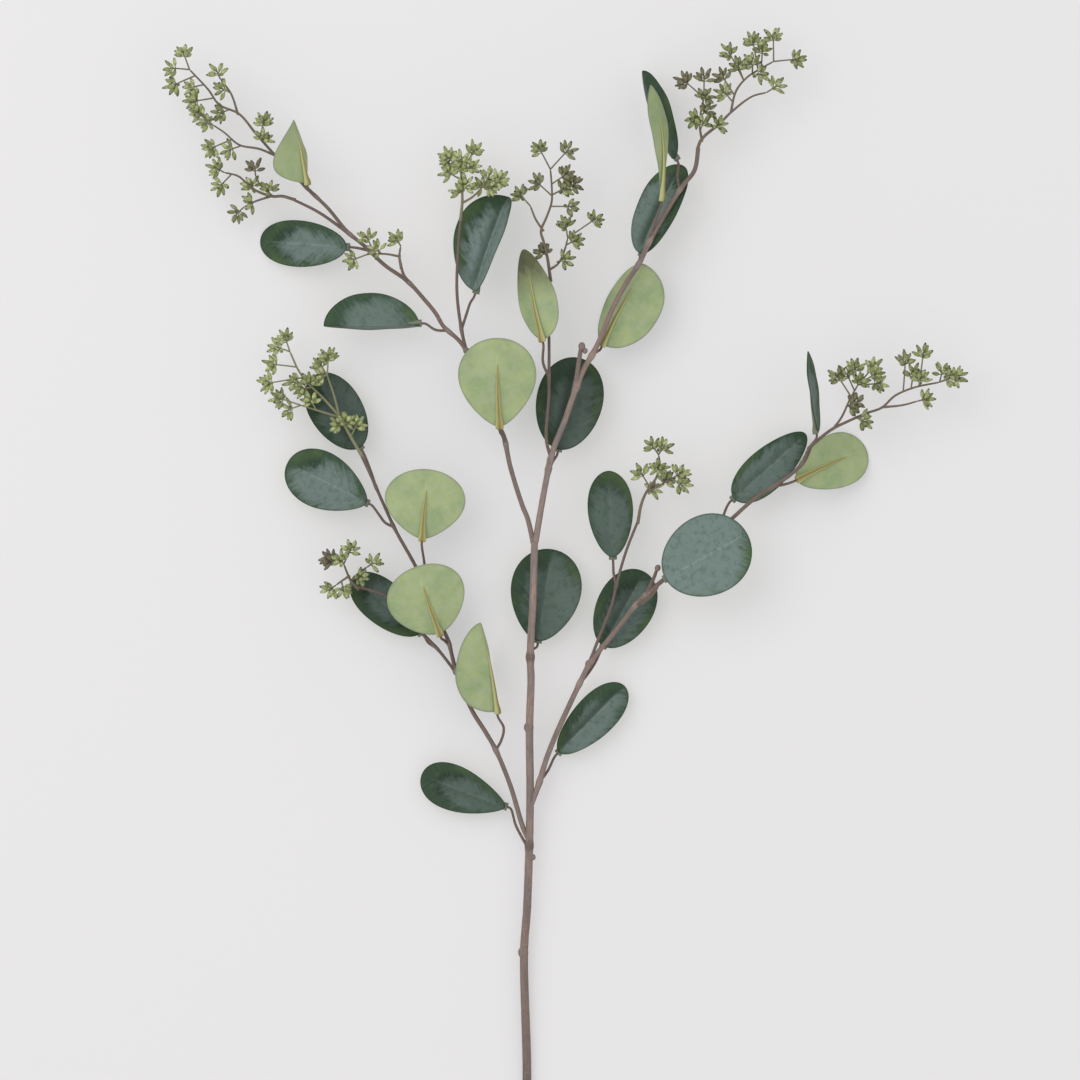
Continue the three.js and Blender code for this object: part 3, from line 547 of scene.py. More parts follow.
# A finish with a Principled shader. paint(wire), where it is given, returns the colour and relief that vary.
# The constants are sockets that don't, named with _ for each space.
def newFinish(name, roughness, specular, paint=None, **constants):
    finish = bpy.data.materials.new(name)
    finish.use_nodes = True
    shader = finish.node_tree.nodes["Principled BSDF"]
    shader.inputs["Roughness"].default_value = roughness
    shader.inputs["Specular IOR Level"].default_value = specular
    for key, value in constants.items():
        shader.inputs[key.replace("_", " ")].default_value = value
    painted = paint(Wire(finish.node_tree)) if paint else {}
    for key, wire in painted.items():
        finish.node_tree.links.new(wire.socket, shader.inputs[key])
    return finish


# Bark of moulded plastic: mauve brown, streaked along the grain, darker on the thick stem and on thin twigs
barkLook = {
    "brown": displayColor(158, 136, 126),
    "stem": displayColor(94, 83, 77),
    "grey": displayColor(134, 123, 119),
    "streak": displayColor(96, 78, 71),
    "fleck": displayColor(176, 158, 146),
    "twig": displayColor(100, 85, 78),
    "roughness": 0.7,
    "patchLength": 26,  # millimetres along the grain
    "streakLength": 9,
    "fleckLength": 2.2,
    "twigRadius": 1.2,  # a limb as thin as this is all twig colour
    "branchRadius": 2.6,  # between the twigs' colour and the stem's
    "stemRadius": 3.5,
    "stemCover": 0.8,  # how much of the colour below each of these hides
    "twigCover": 0.85,
    "streakCover": 0.65,
    "fleckCover": 0.5,
}


def paintBark(wire):
    along, across, upward = wire.values("grain")
    thickness, lightness, _ = wire.values("limb")
    patches = wire.noise(wire.vector(along / barkLook["patchLength"], across * 0.7, upward * 0.7), 1)
    streaks = wire.noise(wire.vector(along / barkLook["streakLength"], across * 3, upward * 3), 1, 5, 0.7)
    flecks = wire.noise(wire.vector(along / barkLook["fleckLength"], across * 4, upward * 4), 1, 3, 0.7)
    color = wire.blend(patches.ramp(0.35, 0.65), barkLook["brown"], barkLook["grey"])
    thick = thickness.ramp(barkLook["branchRadius"], barkLook["stemRadius"])
    color = wire.blend(thick * barkLook["stemCover"], color, barkLook["stem"])
    thin = thickness.ramp(barkLook["branchRadius"], barkLook["twigRadius"])
    color = wire.blend(thin * barkLook["twigCover"], color, barkLook["twig"])
    color = wire.blend(streaks.ramp(0.47, 0.68) * barkLook["streakCover"], color, barkLook["streak"])
    color = wire.blend(flecks.ramp(0.55, 0.7) * barkLook["fleckCover"], color, barkLook["fleck"])
    color = wire.blend(lightness, color, nutLook["stalk"])
    return {"Base Color": color, "Normal": wire.bump(streaks + flecks * 0.5, 0.5 * mm, 0.8)}


# Gum nuts: light green with dark tips and a dark rim, some clusters brown or purple, and painted shade in
# olive towards the stalk, where the nuts crowd together at the crown
nutLook = {
    "green": displayColor(160, 172, 110),
    "pale": displayColor(202, 208, 156),
    "olive": displayColor(94, 101, 60),
    "tip": displayColor(54, 54, 38),
    "purple": displayColor(106, 94, 84),
    "stalk": displayColor(138, 138, 104),
    "roughness": 0.55,
    "spots": 450,  # to a metre, roughly
    "oliveCover": 0.8,
    "footShadeCover": 0.4,  # of the olive towards the stalk: painted shade where the nuts crowd together at the crown
    "rimCover": 0.35,
}


def paintNuts(wire):
    along, brown, shade = wire.values("nut")
    spots = wire.noise(wire.node("ShaderNodeTexCoord", {}, {}, 3), nutLook["spots"])  # Object coordinates
    color = wire.blend(spots.ramp(0.4, 0.65), nutLook["green"], nutLook["pale"])
    color = wire.blend(shade * nutLook["oliveCover"], color, nutLook["olive"])
    # painted shade: olive towards the stalk, where the nuts crowd together at the crown
    color = wire.blend(along.ramp(0.5, 0.2) * nutLook["footShadeCover"], color, nutLook["olive"])
    color = wire.blend(brown, color, nutLook["purple"])
    rim = along.ramp(0.66, 0.71) * along.ramp(0.78, 0.72)  # where the profile steps in behind the cap
    darkTip = along.ramp(0.76, 0.94) * (shade * 0.5 + 0.55)
    color = wire.blend(darkTip + rim * nutLook["rimCover"], color, nutLook["tip"])
    return {"Base Color": color, "Normal": wire.bump(spots, 0.3 * mm, 0.4)}


# The dark upper face of a leaf: green, with a blue-grey bloom that thins out towards the edge in streaks
# along the side veins, a light midrib, a thin dark edge, and painted shade on one half and in the crease left
# of the midrib, where the fold turns the face from the light
upperLook = {
    "green": displayColor(52, 77, 54),
    "deep": displayColor(33, 54, 38),
    "moss": displayColor(80, 106, 58),
    "bloom": displayColor(112, 128, 124),
    "midrib": displayColor(148, 160, 152),
    "roughness": 0.62,
    "midribWidth": 1.3,  # millimetres to each side
    "cloudSize": 30,
    "mottleSize": 5,
    "streakWander": 0.7,  # how far the bloom's edge moves with the streaks, the clouds and the mottle
    "cloudWander": 0.9,
    "mottleWander": 0.8,
    "tipward": 0.006,  # how much the bloom draws back in a millimetre towards the tip
    "tipwardFrom": 34,
    "bloomEdge": (0.92, 0.46),  # shares of the way out where the bloom ends and where it is full
    "mossCover": 0.6,
    "mottleCover": 0.45,
    "veinCover": 0.16,
    "midribCover": 0.45,
    "edgeCover": 0.55,
    "weaveContrast": 0.2,
}

# The light underside of a leaf: mottled green with a grey edge, a faint midrib past the end of the rib, and
# on some leaves a brown tip, which on leaf_upper_right_2 is painted shade where the tip twists away from the
# light
lowerLook = {
    "green": displayColor(148, 168, 120),
    "yellow": displayColor(158, 171, 122),
    "grey": displayColor(154, 164, 134),
    "edge": displayColor(128, 136, 112),
    "vein": displayColor(176, 190, 146),
    # the brown tip, painted shade on leaf_upper_right_2 where it twists away from the light
    "brown": displayColor(88, 90, 66),
    "roughness": 0.7,
    "cloudSize": 16,
    "mottleSize": 5,
    "streakCover": 0.25,
    "mottleCover": 0.6,
    "veinCover": 0.22,
    "midribCover": 0.5,
    "edgeCover": 0.7,
    "weaveContrast": 0.12,
    "mottleContrast": 0.35,
    "cloudContrast": 0.4,
}

veinLook = {
    "spacing": 5.5,  # millimetres
    "slant": 0.8,  # how far a vein climbs in a millimetre outwards
    "width": 0.07,  # as a share of the spacing
    "streakWidth": 3.4,
    "streakLength": 22,
    "bend": 0.6,  # how far the streaks bend the veins, as a share of the spacing
    "stagger": 0.2,  # the same between the two halves, which keeps the veins from meeting
    "weaveScale": 2.5,  # threads of the fabric to a millimetre
}


# Noise over a leaf, in patches of that size in millimetres
def leafNoise(wire, along, across, seed, size, *detail):
    return wire.noise(wire.vector(along / size, across / size, seed), 1, *detail)


# Side veins: climb is constant along one. Streaks follow them, and lines are 1 on each and 0 between.
def sideVeins(wire, along, across, seed):
    climb = along - abs(across) * veinLook["slant"]
    outwards = abs(across) + along * 0.4
    place = wire.vector(climb / veinLook["streakWidth"], outwards / veinLook["streakLength"], seed)
    streaks = wire.noise(place, 1, 3, 0.6)
    steps = climb / veinLook["spacing"] + streaks * veinLook["bend"]
    steps = steps + across.math("SIGN", across) * veinLook["stagger"]
    lines = wire.math("PINGPONG", steps, 0.5).ramp(veinLook["width"], 0)
    return streaks, lines


def paintUpper(wire):
    along, across, reach = wire.values("spot")
    bloom, lightness, seed = wire.values("tone")
    streaks, veins = sideVeins(wire, along, across, seed)
    clouds = leafNoise(wire, along, across, seed, upperLook["cloudSize"])
    mottle = leafNoise(wire, along, across, seed, upperLook["mottleSize"], 4, 0.7)
    weave = wire.noise(wire.vector(along, across, seed), veinLook["weaveScale"])
    moss = clouds.ramp(0.45, 0.65) * reach.ramp(0.55, 0.95)
    color = wire.blend(clouds.ramp(0.35, 0.65), upperLook["green"], upperLook["deep"])
    color = wire.blend(moss * upperLook["mossCover"], color, upperLook["moss"])
    side, crease, spread = wire.values("halves")
    edge = reach + (streaks - 0.5) * upperLook["streakWander"] + (clouds - 0.5) * upperLook["cloudWander"]
    edge = edge + (mottle - 0.5) * upperLook["mottleWander"]
    edge = edge + (along - upperLook["tipwardFrom"]) * upperLook["tipward"]
    # painted shade: the bloom draws back on one half, which stays darker as if the fold turned it from the
    # light
    edge = edge + side * (across.ramp(-2, 3) - 0.5) - spread
    color = wire.blend(edge.ramp(*upperLook["bloomEdge"]) * bloom, color, upperLook["bloom"])
    color = wire.blend(mottle.ramp(0.55, 0.3) * upperLook["mottleCover"], color, upperLook["green"])
    color = wire.blend(veins * mottle.ramp(0.35, 0.6) * upperLook["veinCover"], color, upperLook["midrib"])
    midrib = abs(across).ramp(upperLook["midribWidth"], 0.2) * reach.ramp(0.95, 0.5) * mottle.ramp(0.3, 0.65)
    color = wire.blend(midrib * bloom * bloom * upperLook["midribCover"], color, upperLook["midrib"])
    # painted shade: a dark band in the crease just left of the midrib
    creaseShade = across.ramp(-0.5, 1.5) * across.ramp(9, 2) * reach.ramp(1, 0.7)
    color = wire.blend(creaseShade * crease, color, upperLook["deep"])
    color = wire.blend(reach.ramp(0.94, 1) * upperLook["edgeCover"], color, upperLook["deep"])
    color = wire.lighten(color, lightness + (weave - 0.5) * upperLook["weaveContrast"])
    return {"Base Color": color, "Normal": wire.bump(streaks + weave * 0.4 - veins * 0.5, 0.4 * mm, 0.6)}


def paintLower(wire):
    along, across, reach = wire.values("spot")
    _, lightness, seed = wire.values("tone")
    streaks, veins = sideVeins(wire, along, across, seed)
    clouds = leafNoise(wire, along, across, seed, lowerLook["cloudSize"], 3)
    mottle = leafNoise(wire, along, across, seed, lowerLook["mottleSize"], 4, 0.7)
    weave = wire.noise(wire.vector(along, across, seed), veinLook["weaveScale"])
    color = wire.blend(clouds.ramp(0.35, 0.6), lowerLook["green"], lowerLook["yellow"])
    grey = streaks.ramp(0.45, 0.7) * lowerLook["streakCover"]
    grey = grey + mottle.ramp(0.45, 0.62) * lowerLook["mottleCover"]
    color = wire.blend(grey, color, lowerLook["grey"])
    color = wire.blend(veins * mottle.ramp(0.35, 0.6) * lowerLook["veinCover"], color, lowerLook["vein"])
    midrib = abs(across).ramp(0.8, 0.1) * reach.ramp(0.8, 0.3)
    color = wire.blend(midrib * lowerLook["midribCover"], color, lowerLook["vein"])
    color = wire.blend(reach.ramp(0.93, 1) * lowerLook["edgeCover"], color, lowerLook["edge"])
    # a brown tip, painted shade on leaf_upper_right_2 where it twists away from the light
    color = wire.blend(wire.values("brownTip")[0] * (mottle + 0.4), color, lowerLook["brown"])
    lightness = lightness + (weave - 0.5) * lowerLook["weaveContrast"]
    lightness = lightness + (mottle - 0.5) * lowerLook["mottleContrast"]
    color = wire.lighten(color, lightness + (clouds - 0.5) * lowerLook["cloudContrast"])
    return {"Base Color": color, "Normal": wire.bump(streaks + weave * 0.4 + veins * 0.5, 0.4 * mm, 0.5)}


# The moulded rib under a leaf: olive gold with a dark line along its crest, paler where it starts
ribLook = {
    "gold": displayColor(156, 146, 88),
    "line": displayColor(122, 106, 56),
    "pale": displayColor(172, 176, 122),
    "dull": displayColor(112, 116, 98),  # where the rib shows behind a dark face
    "roughness": 0.5,
    "streakLength": 8,
    "lineCover": 0.75,
}


def paintRib(wire):
    along, across, upward = wire.values("grain")
    streaks = wire.noise(wire.vector(along / ribLook["streakLength"], across * 2, upward * 2), 1, 3)
    color = wire.blend(abs(across).ramp(0.45, 0.9), ribLook["gold"], ribLook["pale"])
    crest = abs(across + (streaks - 0.5) * 0.5).ramp(0.4, 0.1) * upward.ramp(-0.2, 0.3)
    color = wire.blend(crest * ribLook["lineCover"], color, ribLook["line"])
    _, _, golden = wire.values("tone")
    color = wire.blend(golden, ribLook["dull"], color)
    return {"Base Color": color, "Normal": wire.bump(streaks, 0.3 * mm, 0.5)}


finishes = {
    "bark": newFinish("moulded_bark", barkLook["roughness"], 0.3, paintBark),
    "nut": newFinish("gum_nut", nutLook["roughness"], 0.35, paintNuts),
    "upper": newFinish("leaf_upper_face", upperLook["roughness"], 0.3, paintUpper),
    "lower": newFinish("leaf_underside", lowerLook["roughness"], 0.25, paintLower),
    "rib": newFinish("moulded_rib", ribLook["roughness"], 0.35, paintRib),
}
print("finishes made:", len(finishes))


woodLook = {
    "step": 1.5,  # millimetres between rings
    "sides": 20,
    "ridge": 0.021,  # height of the long ridges, as a share of the radius
    # Strength of the ridges, their number round the limb, how slowly they wind along it, and their start
    "ridges": ((1, 5, 31, 0), (0.6, 8, -19, 1), (0.5, 2, 2.3, 0)),
    "swell": 0.28,  # how much a limb thickens where something grows from it
    "swellLength": 3.2,
    "petioleSides": 12,
    "petioleRadii": (1.1, 0.9),
    "petioleRun": 2.5,  # straight end of a petiole before the rib
    "petioleSeat": 1.2,  # how far it goes into the rib
    "seat": 3,  # how far a branch or a spray starts inside the limb that carries it
    "round": 1.4,  # length over which a free end is rounded off
    "roundLeast": 0.05,  # the least share of that length that counts, so that the end doesn't close
    "knobLength": 1.1,  # as a share of the knob's radius
    "knobWidth": 0.92,
    "knobEnd": 0.98,  # the share of its half length at which a knob is cut off flat
    "knobRings": 15,
    "knobSides": 16,
    "knobTone": 2,  # the radius that gives a knob its colour
}


# The radius of a limb: it tapers, swells by a bell curve at each joint, carries shallow ridges that wander
# round it as they run along, and is rounded off at its far end as a quarter ellipse
def limbRadius(path, radii, joints, sides):
    along = distanceAlong(path)
    turn = np.arange(sides) * 2 * np.pi / sides
    taper = radii[0] + (radii[1] - radii[0]) * along / along[-1]
    if len(joints):
        away = np.linalg.norm(path[:, None] - np.array(joints)[None], axis=2)
        swell = np.exp(-((away / woodLook["swellLength"]) ** 2)).max(axis=1)
        taper = taper * (1 + woodLook["swell"] * swell)
    left = np.clip((along[-1] - along) / woodLook["round"], woodLook["roundLeast"], 1)
    taper = taper * np.sqrt(1 - (1 - left) ** 2)
    ridges = sum(
        strength * np.sin(number * turn + along[:, None] / length + start)
        for strength, number, length, start in woodLook["ridges"]
    )
    return taper[:, None] * (1 + woodLook["ridge"] * ridges)


def addLimb(shape, points, radii, joints=(), sides=woodLook["sides"], lightness=0):
    path = smoothPath(points, woodLook["step"])
    radius = limbRadius(path, radii, joints, sides)
    places, faces = sweep(path, radius, sides)
    thickness = np.repeat(radius.mean(axis=1), sides)
    limb = np.stack([thickness, np.full_like(thickness, lightness), np.zeros_like(thickness)], axis=1)
    shape.add(places, faces, grain=grainOf(path, sides), limb=limb)


# A knob where a leaf or a twig once grew: a spindle along the limb, with radius x sqrt(1 - share squared)
def addKnob(shape, centre, radius, heading):
    share = np.linspace(-woodLook["knobEnd"], woodLook["knobEnd"], woodLook["knobRings"])
    path = np.array(centre) + share[:, None] * radius * woodLook["knobLength"] * heading
    bulge = radius * woodLook["knobWidth"] * np.sqrt(1 - share**2)
    places, faces = sweep(path, bulge, woodLook["knobSides"])
    shape.add(places, faces, grain=grainOf(path, woodLook["knobSides"]), limb=(woodLook["knobTone"], 0, 0))


# The petiole of a leaf, from inside the wood to inside the rib
def petiolePoints(leaf):
    root, after = ribPlaces(leaf, leafAxes(leaf))[:2]
    heading = unit(after - root)
    before = root - woodLook["petioleRun"] * heading
    return [*leaf["petiole"], before, root + woodLook["petioleSeat"] * heading]


# The points of a limb with one more inside the limb that carries it
def seated(points):
    points = np.array(points, float)
    return np.vstack([points[0] - woodLook["seat"] * unit(points[1] - points[0]), points])


def makeWood(node):
    shape = Shape("grain", "limb")
    limbs = wood[node]["limbs"]
    carried = [leaf for name, leaf in leaves.items() if name.startswith(wood[node]["leaves"])]
    joints = [limb["points"][0] for limb in limbs[1:]] + [leaf["petiole"][0] for leaf in carried]
    for index, limb in enumerate(limbs):
        onStem = index == 0 and node != "main_stem"
        addLimb(shape, seated(limb["points"]) if onStem else limb["points"], limb["radii"], joints)
    stretches = np.vstack([np.array(limb["points"][1:], float) for limb in limbs])
    headings = np.vstack([unit(np.diff(np.array(limb["points"], float), axis=0)) for limb in limbs])
    for *centre, radius in wood[node]["knobs"]:
        nearest = np.linalg.norm(stretches - centre, axis=1).argmin()
        addKnob(shape, centre, radius, headings[nearest])
    for leaf in carried:
        addLimb(shape, petiolePoints(leaf), woodLook["petioleRadii"], sides=woodLook["petioleSides"])
    shape.finish(node, "bark", [finishes["bark"]])


leafLook = {
    "spokes": 96,
    "rings": 18,
    "thickness": 0.6,
    "firstRing": 0.004,  # shares of the outline for the innermost ring and the one inside the rim
    "lastRing": 0.985,
    "crease": 1.0,  # millimetres over which the fold at the midrib is rounded
    "wave": 0.35,  # height of the ripples in a blade
    # Radians of a ripple along the blade, by how much the seed and the way outwards shift it, and its power
    "ripples": ((8, 1, 0, 1), (13, 2.3, 3, 2)),
    "probe": (0.005, 0.3),  # a short way along and across, to find which way the face looks
    "ribRadii": (2.3, 0.35),
    "ribReach": 0.7,  # as a share of the blade's length
    "ribFlare": 0.8,
    "ribFlareLength": 0.1,  # as a share of the rib
    "ribTaper": 0.8,
    "ribWander": 0.5,  # millimetres, at most
    "ribLead": 1.5,  # how far it starts before the blade
    "ribLift": 0.15,  # millimetres between its flattened side and the middle of the blade
    "ribRise": 0.85,  # the same for the places that a petiole is led to, as a share of the radius there
    "ribTip": 0.5,  # the radius at the last of those places
    "ribFlatness": 0.75,
    "ribSides": 16,
    "ribSteps": 44,
}


# The vectors of a leaf: forward along its midrib, up through its face and left across it, rolled
def leafAxes(leaf):
    base = np.array(leaf["base"], float)
    run = np.array(leaf["tip"], float) - base
    forward = unit(run)
    level = unit(np.cross((0, 0, 1), forward))
    roll = math.radians(leaf.get("roll", 0))
    left = math.cos(roll) * level + math.sin(roll) * np.cross(forward, level)
    up = np.cross(forward, left)
    return {"base": base, "forward": forward, "left": left, "up": up, "length": np.linalg.norm(run)}


# A place on the blade: along runs from 0 at the base to 1 at the tip, and across is millimetres to the left.
# It rises by the fold on both sides, by a parabola over the length, by the square of across, and in ripples,
# which are sines of along that grow towards the edges.
def bladePlace(leaf, axes, along, across, seed=None):
    half = leaf["width"] / 2
    fold = math.radians(leaf.get("fold", 0))
    crease = leafLook["crease"]
    rise = (np.sqrt(across**2 + crease**2) - crease) * math.sin(fold)
    rise = rise + leaf.get("bow", 0) * 4 * along * (1 - along) + leaf.get("curl", 0) * (across / half) ** 2
    if seed is not None:
        outwards = across / half
        ripple = sum(
            np.sin(number * along + shift * seed + bend * outwards) * outwards**power
            for number, shift, bend, power in leafLook["ripples"]
        )
        rise = rise + leafLook["wave"] * ripple
    steps = [along * axes["length"], across * math.cos(fold), rise]
    vectors = [axes["forward"], axes["left"], axes["up"]]
    return axes["base"] + sum(step[..., None] * vector for step, vector in zip(steps, vectors))


# Both faces of the blade and the rim between them, on rings of places that are scaled copies of the outline.
# The outline is an ellipse whose width grows with skew towards the tip, shrinks with taper by the cube of the
# share left to the tip, and whose ends sharpen with point.
def addBlade(shape, leaf, axes, seed, brown, **values):
    spokes = leafLook["spokes"]
    angle = np.arange(spokes) * 2 * np.pi / spokes
    along = 0.5 - 0.5 * np.cos(angle)
    bulge = np.sin(angle) * np.abs(np.sin(angle)) ** leaf.get("point", 0)
    lean = 1 + leaf.get("skew", 0) * (along - 0.5) - leaf.get("taper", 0) * (1 - along) ** 3
    across = leaf["width"] / 2 * bulge * lean
    shares = np.append(np.arange(leafLook["rings"]) / leafLook["rings"], [leafLook["lastRing"], 1])[:, None]
    shares[0] = leafLook["firstRing"]
    along = 0.5 + shares * (along - 0.5)
    across = shares * across
    middle = bladePlace(leaf, axes, along, across, seed)
    ahead, aside = leafLook["probe"]
    forwards = bladePlace(leaf, axes, along + ahead, across, seed) - middle
    sideways = bladePlace(leaf, axes, along, across + aside, seed) - middle
    offset = leafLook["thickness"] / 2 * unit(np.cross(forwards, sideways))
    spot = np.stack([along * axes["length"], across, np.broadcast_to(shares, along.shape)], axis=-1)
    spot = spot.reshape(-1, 3)
    # how brown the tip turns and from where, painted shade on leaf_upper_right_2
    strength, start = brown
    brownTip = np.zeros_like(spot)
    brownTip[:, 0] = strength * np.clip((along.ravel() - start) / (1 - start), 0, 1)
    values = {"spot": spot, "brownTip": brownTip, **values}
    quads = ringQuads(len(shares), spokes)
    centre = np.arange(spokes)[None]
    topSlot = 1 if leaf.get("pale") else 0
    shape.add(middle + offset, [quads, centre[:, ::-1]], topSlot, **values)
    shape.add(middle - offset, [quads[:, ::-1], centre], 1 - topSlot, **values)
    lower = np.arange(spokes) - spokes  # the last ring of the lower face, counted back from the next vertex
    upper = lower - len(spot)
    rim = np.stack([upper, np.roll(upper, -1), np.roll(lower, -1), lower], axis=1)
    shape.add(np.empty((0, 3)), [rim], topSlot)


# Places along the middle of the rib, which is moulded on the light underside of the blade
def ribPlaces(leaf, axes, steps=4):
    share = np.linspace(0, 1, steps)
    radius = leafLook["ribRadii"][0] * (1 - share) + leafLook["ribTip"] * share
    under = axes["up"] * (1 if leaf.get("pale") else -1)
    places = bladePlace(leaf, axes, share * leafLook["ribReach"], np.zeros(steps))
    places = places + (radius * leafLook["ribRise"])[:, None] * under
    places[0] -= axes["forward"] * leafLook["ribLead"]
    return places


# The rib: a flattened limb that starts before the blade, tapers by a power of the share left to its tip,
# wanders by a sine, and has a flare at its start that fades by a bell curve
def addRib(shape, leaf, axes):
    length = leafLook["ribReach"] * axes["length"]
    share = np.linspace(-leafLook["ribLead"] / length, 1, leafLook["ribSteps"])
    thick, thin = leafLook["ribRadii"]
    radius = thin + (thick - thin) * np.clip(1 - share, 0, 1) ** leafLook["ribTaper"]
    radius = radius + leafLook["ribFlare"] * np.exp(-((share / leafLook["ribFlareLength"]) ** 2))
    under = axes["up"] * (1 if leaf.get("pale") else -1)
    wander = leafLook["ribWander"] * np.sin(5 * share) * share
    path = bladePlace(leaf, axes, share * leafLook["ribReach"], wander)
    path = path + (radius * leafLook["ribFlatness"] + leafLook["ribLift"])[:, None] * under
    places, faces = sweep(path, radius, leafLook["ribSides"], upward=under, flatness=leafLook["ribFlatness"])
    grain = grainOf(path, leafLook["ribSides"])
    shape.add(places, faces, 2, grain=grain, tone=(0, 0, 1 if leaf.get("pale") else 0))


# For the dark leaves: how strong the bloom is, how light the leaf is, how much further the bloom spreads on
# the right half than on the left, which leaves painted shade on the half where it spreads less, how dark the
# painted shade in the crease left of the midrib is, and how far the bloom spreads
leafTones = {
    "leaf_stem_1": (0.5, 0.88, 0, 0.3, 0),
    "leaf_stem_2": (0.55, 0.84, 0.4, 0.3, 0.1),
    "leaf_lower_left_4": (0.55, 0.8, 0.2, 0, 0),
    "leaf_lower_left_5": (0.8, 1, -0.3, 0, 0.1),
    "leaf_lower_left_6": (0.5, 0.72, 0.3, 0.4, 0.1),
    "leaf_lower_right_1": (0.78, 0.92, 0.4, 0.7, 0),
    "leaf_lower_right_2": (0.6, 0.88, 0.3, 0.6, 0),
    "leaf_lower_right_3": (0.9, 1.08, -0.1, 0, 0.45),
    "leaf_lower_right_4": (0.5, 0.83, 0, 0, 0.1),
    "leaf_lower_right_5": (0.75, 0.95, 0.1, 0.3, 0.15),
    "leaf_upper_left_2": (1, 1.14, 0.35, 0.6, 0.25),
    "leaf_upper_left_4": (0.8, 1, -0.2, 0, 0),
    "leaf_upper_right_1": (0.5, 0.7, 0.3, 0.8, 0),
    "leaf_upper_right_4": (0.75, 1.04, -0.3, 0.8, 0.1),
    "leaf_upper_right_5": (0.4, 0.8, 0, 0.3, 0),
}
usualTones = (0.65, 1, 0, 0.2, 0)

# For pale leaves with a brown tip, which on leaf_upper_right_2 is painted shade where the tip twists away
# from
# the light: how brown it is, and the share of the length at which it starts
brownAndShadedTips = {"leaf_upper_right_2": (1.6, 0.42), "leaf_upper_left_5": (0.3, 0)}


def makeLeaf(node, seed):
    leaf = leaves[node]
    axes = leafAxes(leaf)
    bloom, lightness, *halves = leafTones.get(node, usualTones)
    shape = Shape("spot", "tone", "halves", "brownTip", "grain")
    brown = brownAndShadedTips.get(node, (0, 0))
    addBlade(shape, leaf, axes, seed, brown, tone=(bloom, lightness, seed), halves=halves)
    addRib(shape, leaf, axes)
    if leaf.get("rests"):
        shape.rest(leaf["base"][2])
    slot = "leaf_underside" if leaf.get("pale") else "leaf_upper_face"
    shape.finish(node, slot, [finishes["upper"], finishes["lower"], finishes["rib"]])


sprayLook = {
    "twigStep": 15,  # millimetres between the places from which a cluster may be tied
    "tieShares": np.array([0.2, 0.6, 1]),
    "easyTurn": 0.45,  # cosine of the sharpest fork that a stalk makes without cost
    "turnBackCost": 25,
    "twigRadii": ((1.25, 0.65), (0.95, 0.6)),
    "twigSides": 10,
    "twigGreen": {"nut_spray_lower_left_tip": 0.8, "nut_spray_upper_left_inner": 0.6},
    "usualGreen": 0.2,  # how green the twigs of the other sprays are
    "clusterLift": 5,  # how far crowns are raised and lowered, at most
    "goldenTurn": 2.4,  # radians
    "stalkRadii": (0.6, 0.5),
    "stalkSides": 8,
    "stalkArch": 0.06,  # height of its bend, as a share of its length
    "stalkGreen": 0.2,  # how much greener it is than the twigs
    "nuts": (8, 12),  # fewest, and one more than most, in a cluster
    "nutLength": (8, 10),  # with its thin stalk
    "nutRadius": (1.35, 1.65),
    "fanFlatness": 0.65,  # how thick the fan of a cluster is, as a share of its width
    "nutLean": (4, 82),  # degrees from the cluster's heading, for the first and the last nut
    "leanSpread": 0.08,  # radians
    "firstShare": 0.3,  # where the first nut stands in the step from one nut to the next
    "tier": (2.5, 3),  # how far behind the crown the first nut starts, and how much further the last
    "mostBehind": 0.6,  # as a share of the stalk
    "nutSides": 8,
}

# A nut's profile: shares of its length and of its radius, from its stalk over the rim of its cap to its tip
nutProfile = np.array([
    [0, 0.22], [0.24, 0.26], [0.32, 0.66], [0.44, 0.94], [0.58, 1], [0.72, 0.96], [0.75, 0.86], [0.87, 0.66],
    [0.95, 0.4], [1, 0.14],
])


def nearestOn(lines, point):
    starts = np.vstack([line[:-1] for line in lines])
    runs = np.vstack([line[1:] - line[:-1] for line in lines])
    share = np.clip(((point - starts) * runs).sum(axis=1) / (runs**2).sum(axis=1), 0, 1)
    places = starts + share[:, None] * runs
    return places[np.linalg.norm(places - point, axis=1).argmin()]


# The place on the twigs that a cluster is tied to: the nearest from which the cluster lies ahead
def tieTo(lines, cluster):
    starts = np.vstack([line[:-1] for line in lines])
    runs = np.vstack([line[1:] - line[:-1] for line in lines])
    feet = starts[:, None] + sprayLook["tieShares"][None, :, None] * runs[:, None]
    reach = np.array([*cluster, 0]) - feet
    reach[..., 2] = 0
    length = np.linalg.norm(reach, axis=2)
    ahead = (reach * unit(runs)[:, None]).sum(axis=2) / (length + 0.01)
    cost = length + sprayLook["turnBackCost"] * np.maximum(0, sprayLook["easyTurn"] - ahead)
    return feet.reshape(-1, 3)[cost.argmin()]


def addNut(shape, root, heading, brown, shade):
    length = random.uniform(*sprayLook["nutLength"])
    radius = random.uniform(*sprayLook["nutRadius"]) * nutProfile[:, 1]
    path = root + nutProfile[:, :1] * length * heading
    places, faces = sweep(path, radius, sprayLook["nutSides"])
    share = np.repeat(nutProfile[:, 0], sprayLook["nutSides"])
    tone = np.stack([share, np.full_like(share, brown), np.full_like(share, shade)], axis=1)
    shape.add(places, faces, 1, nut=tone)


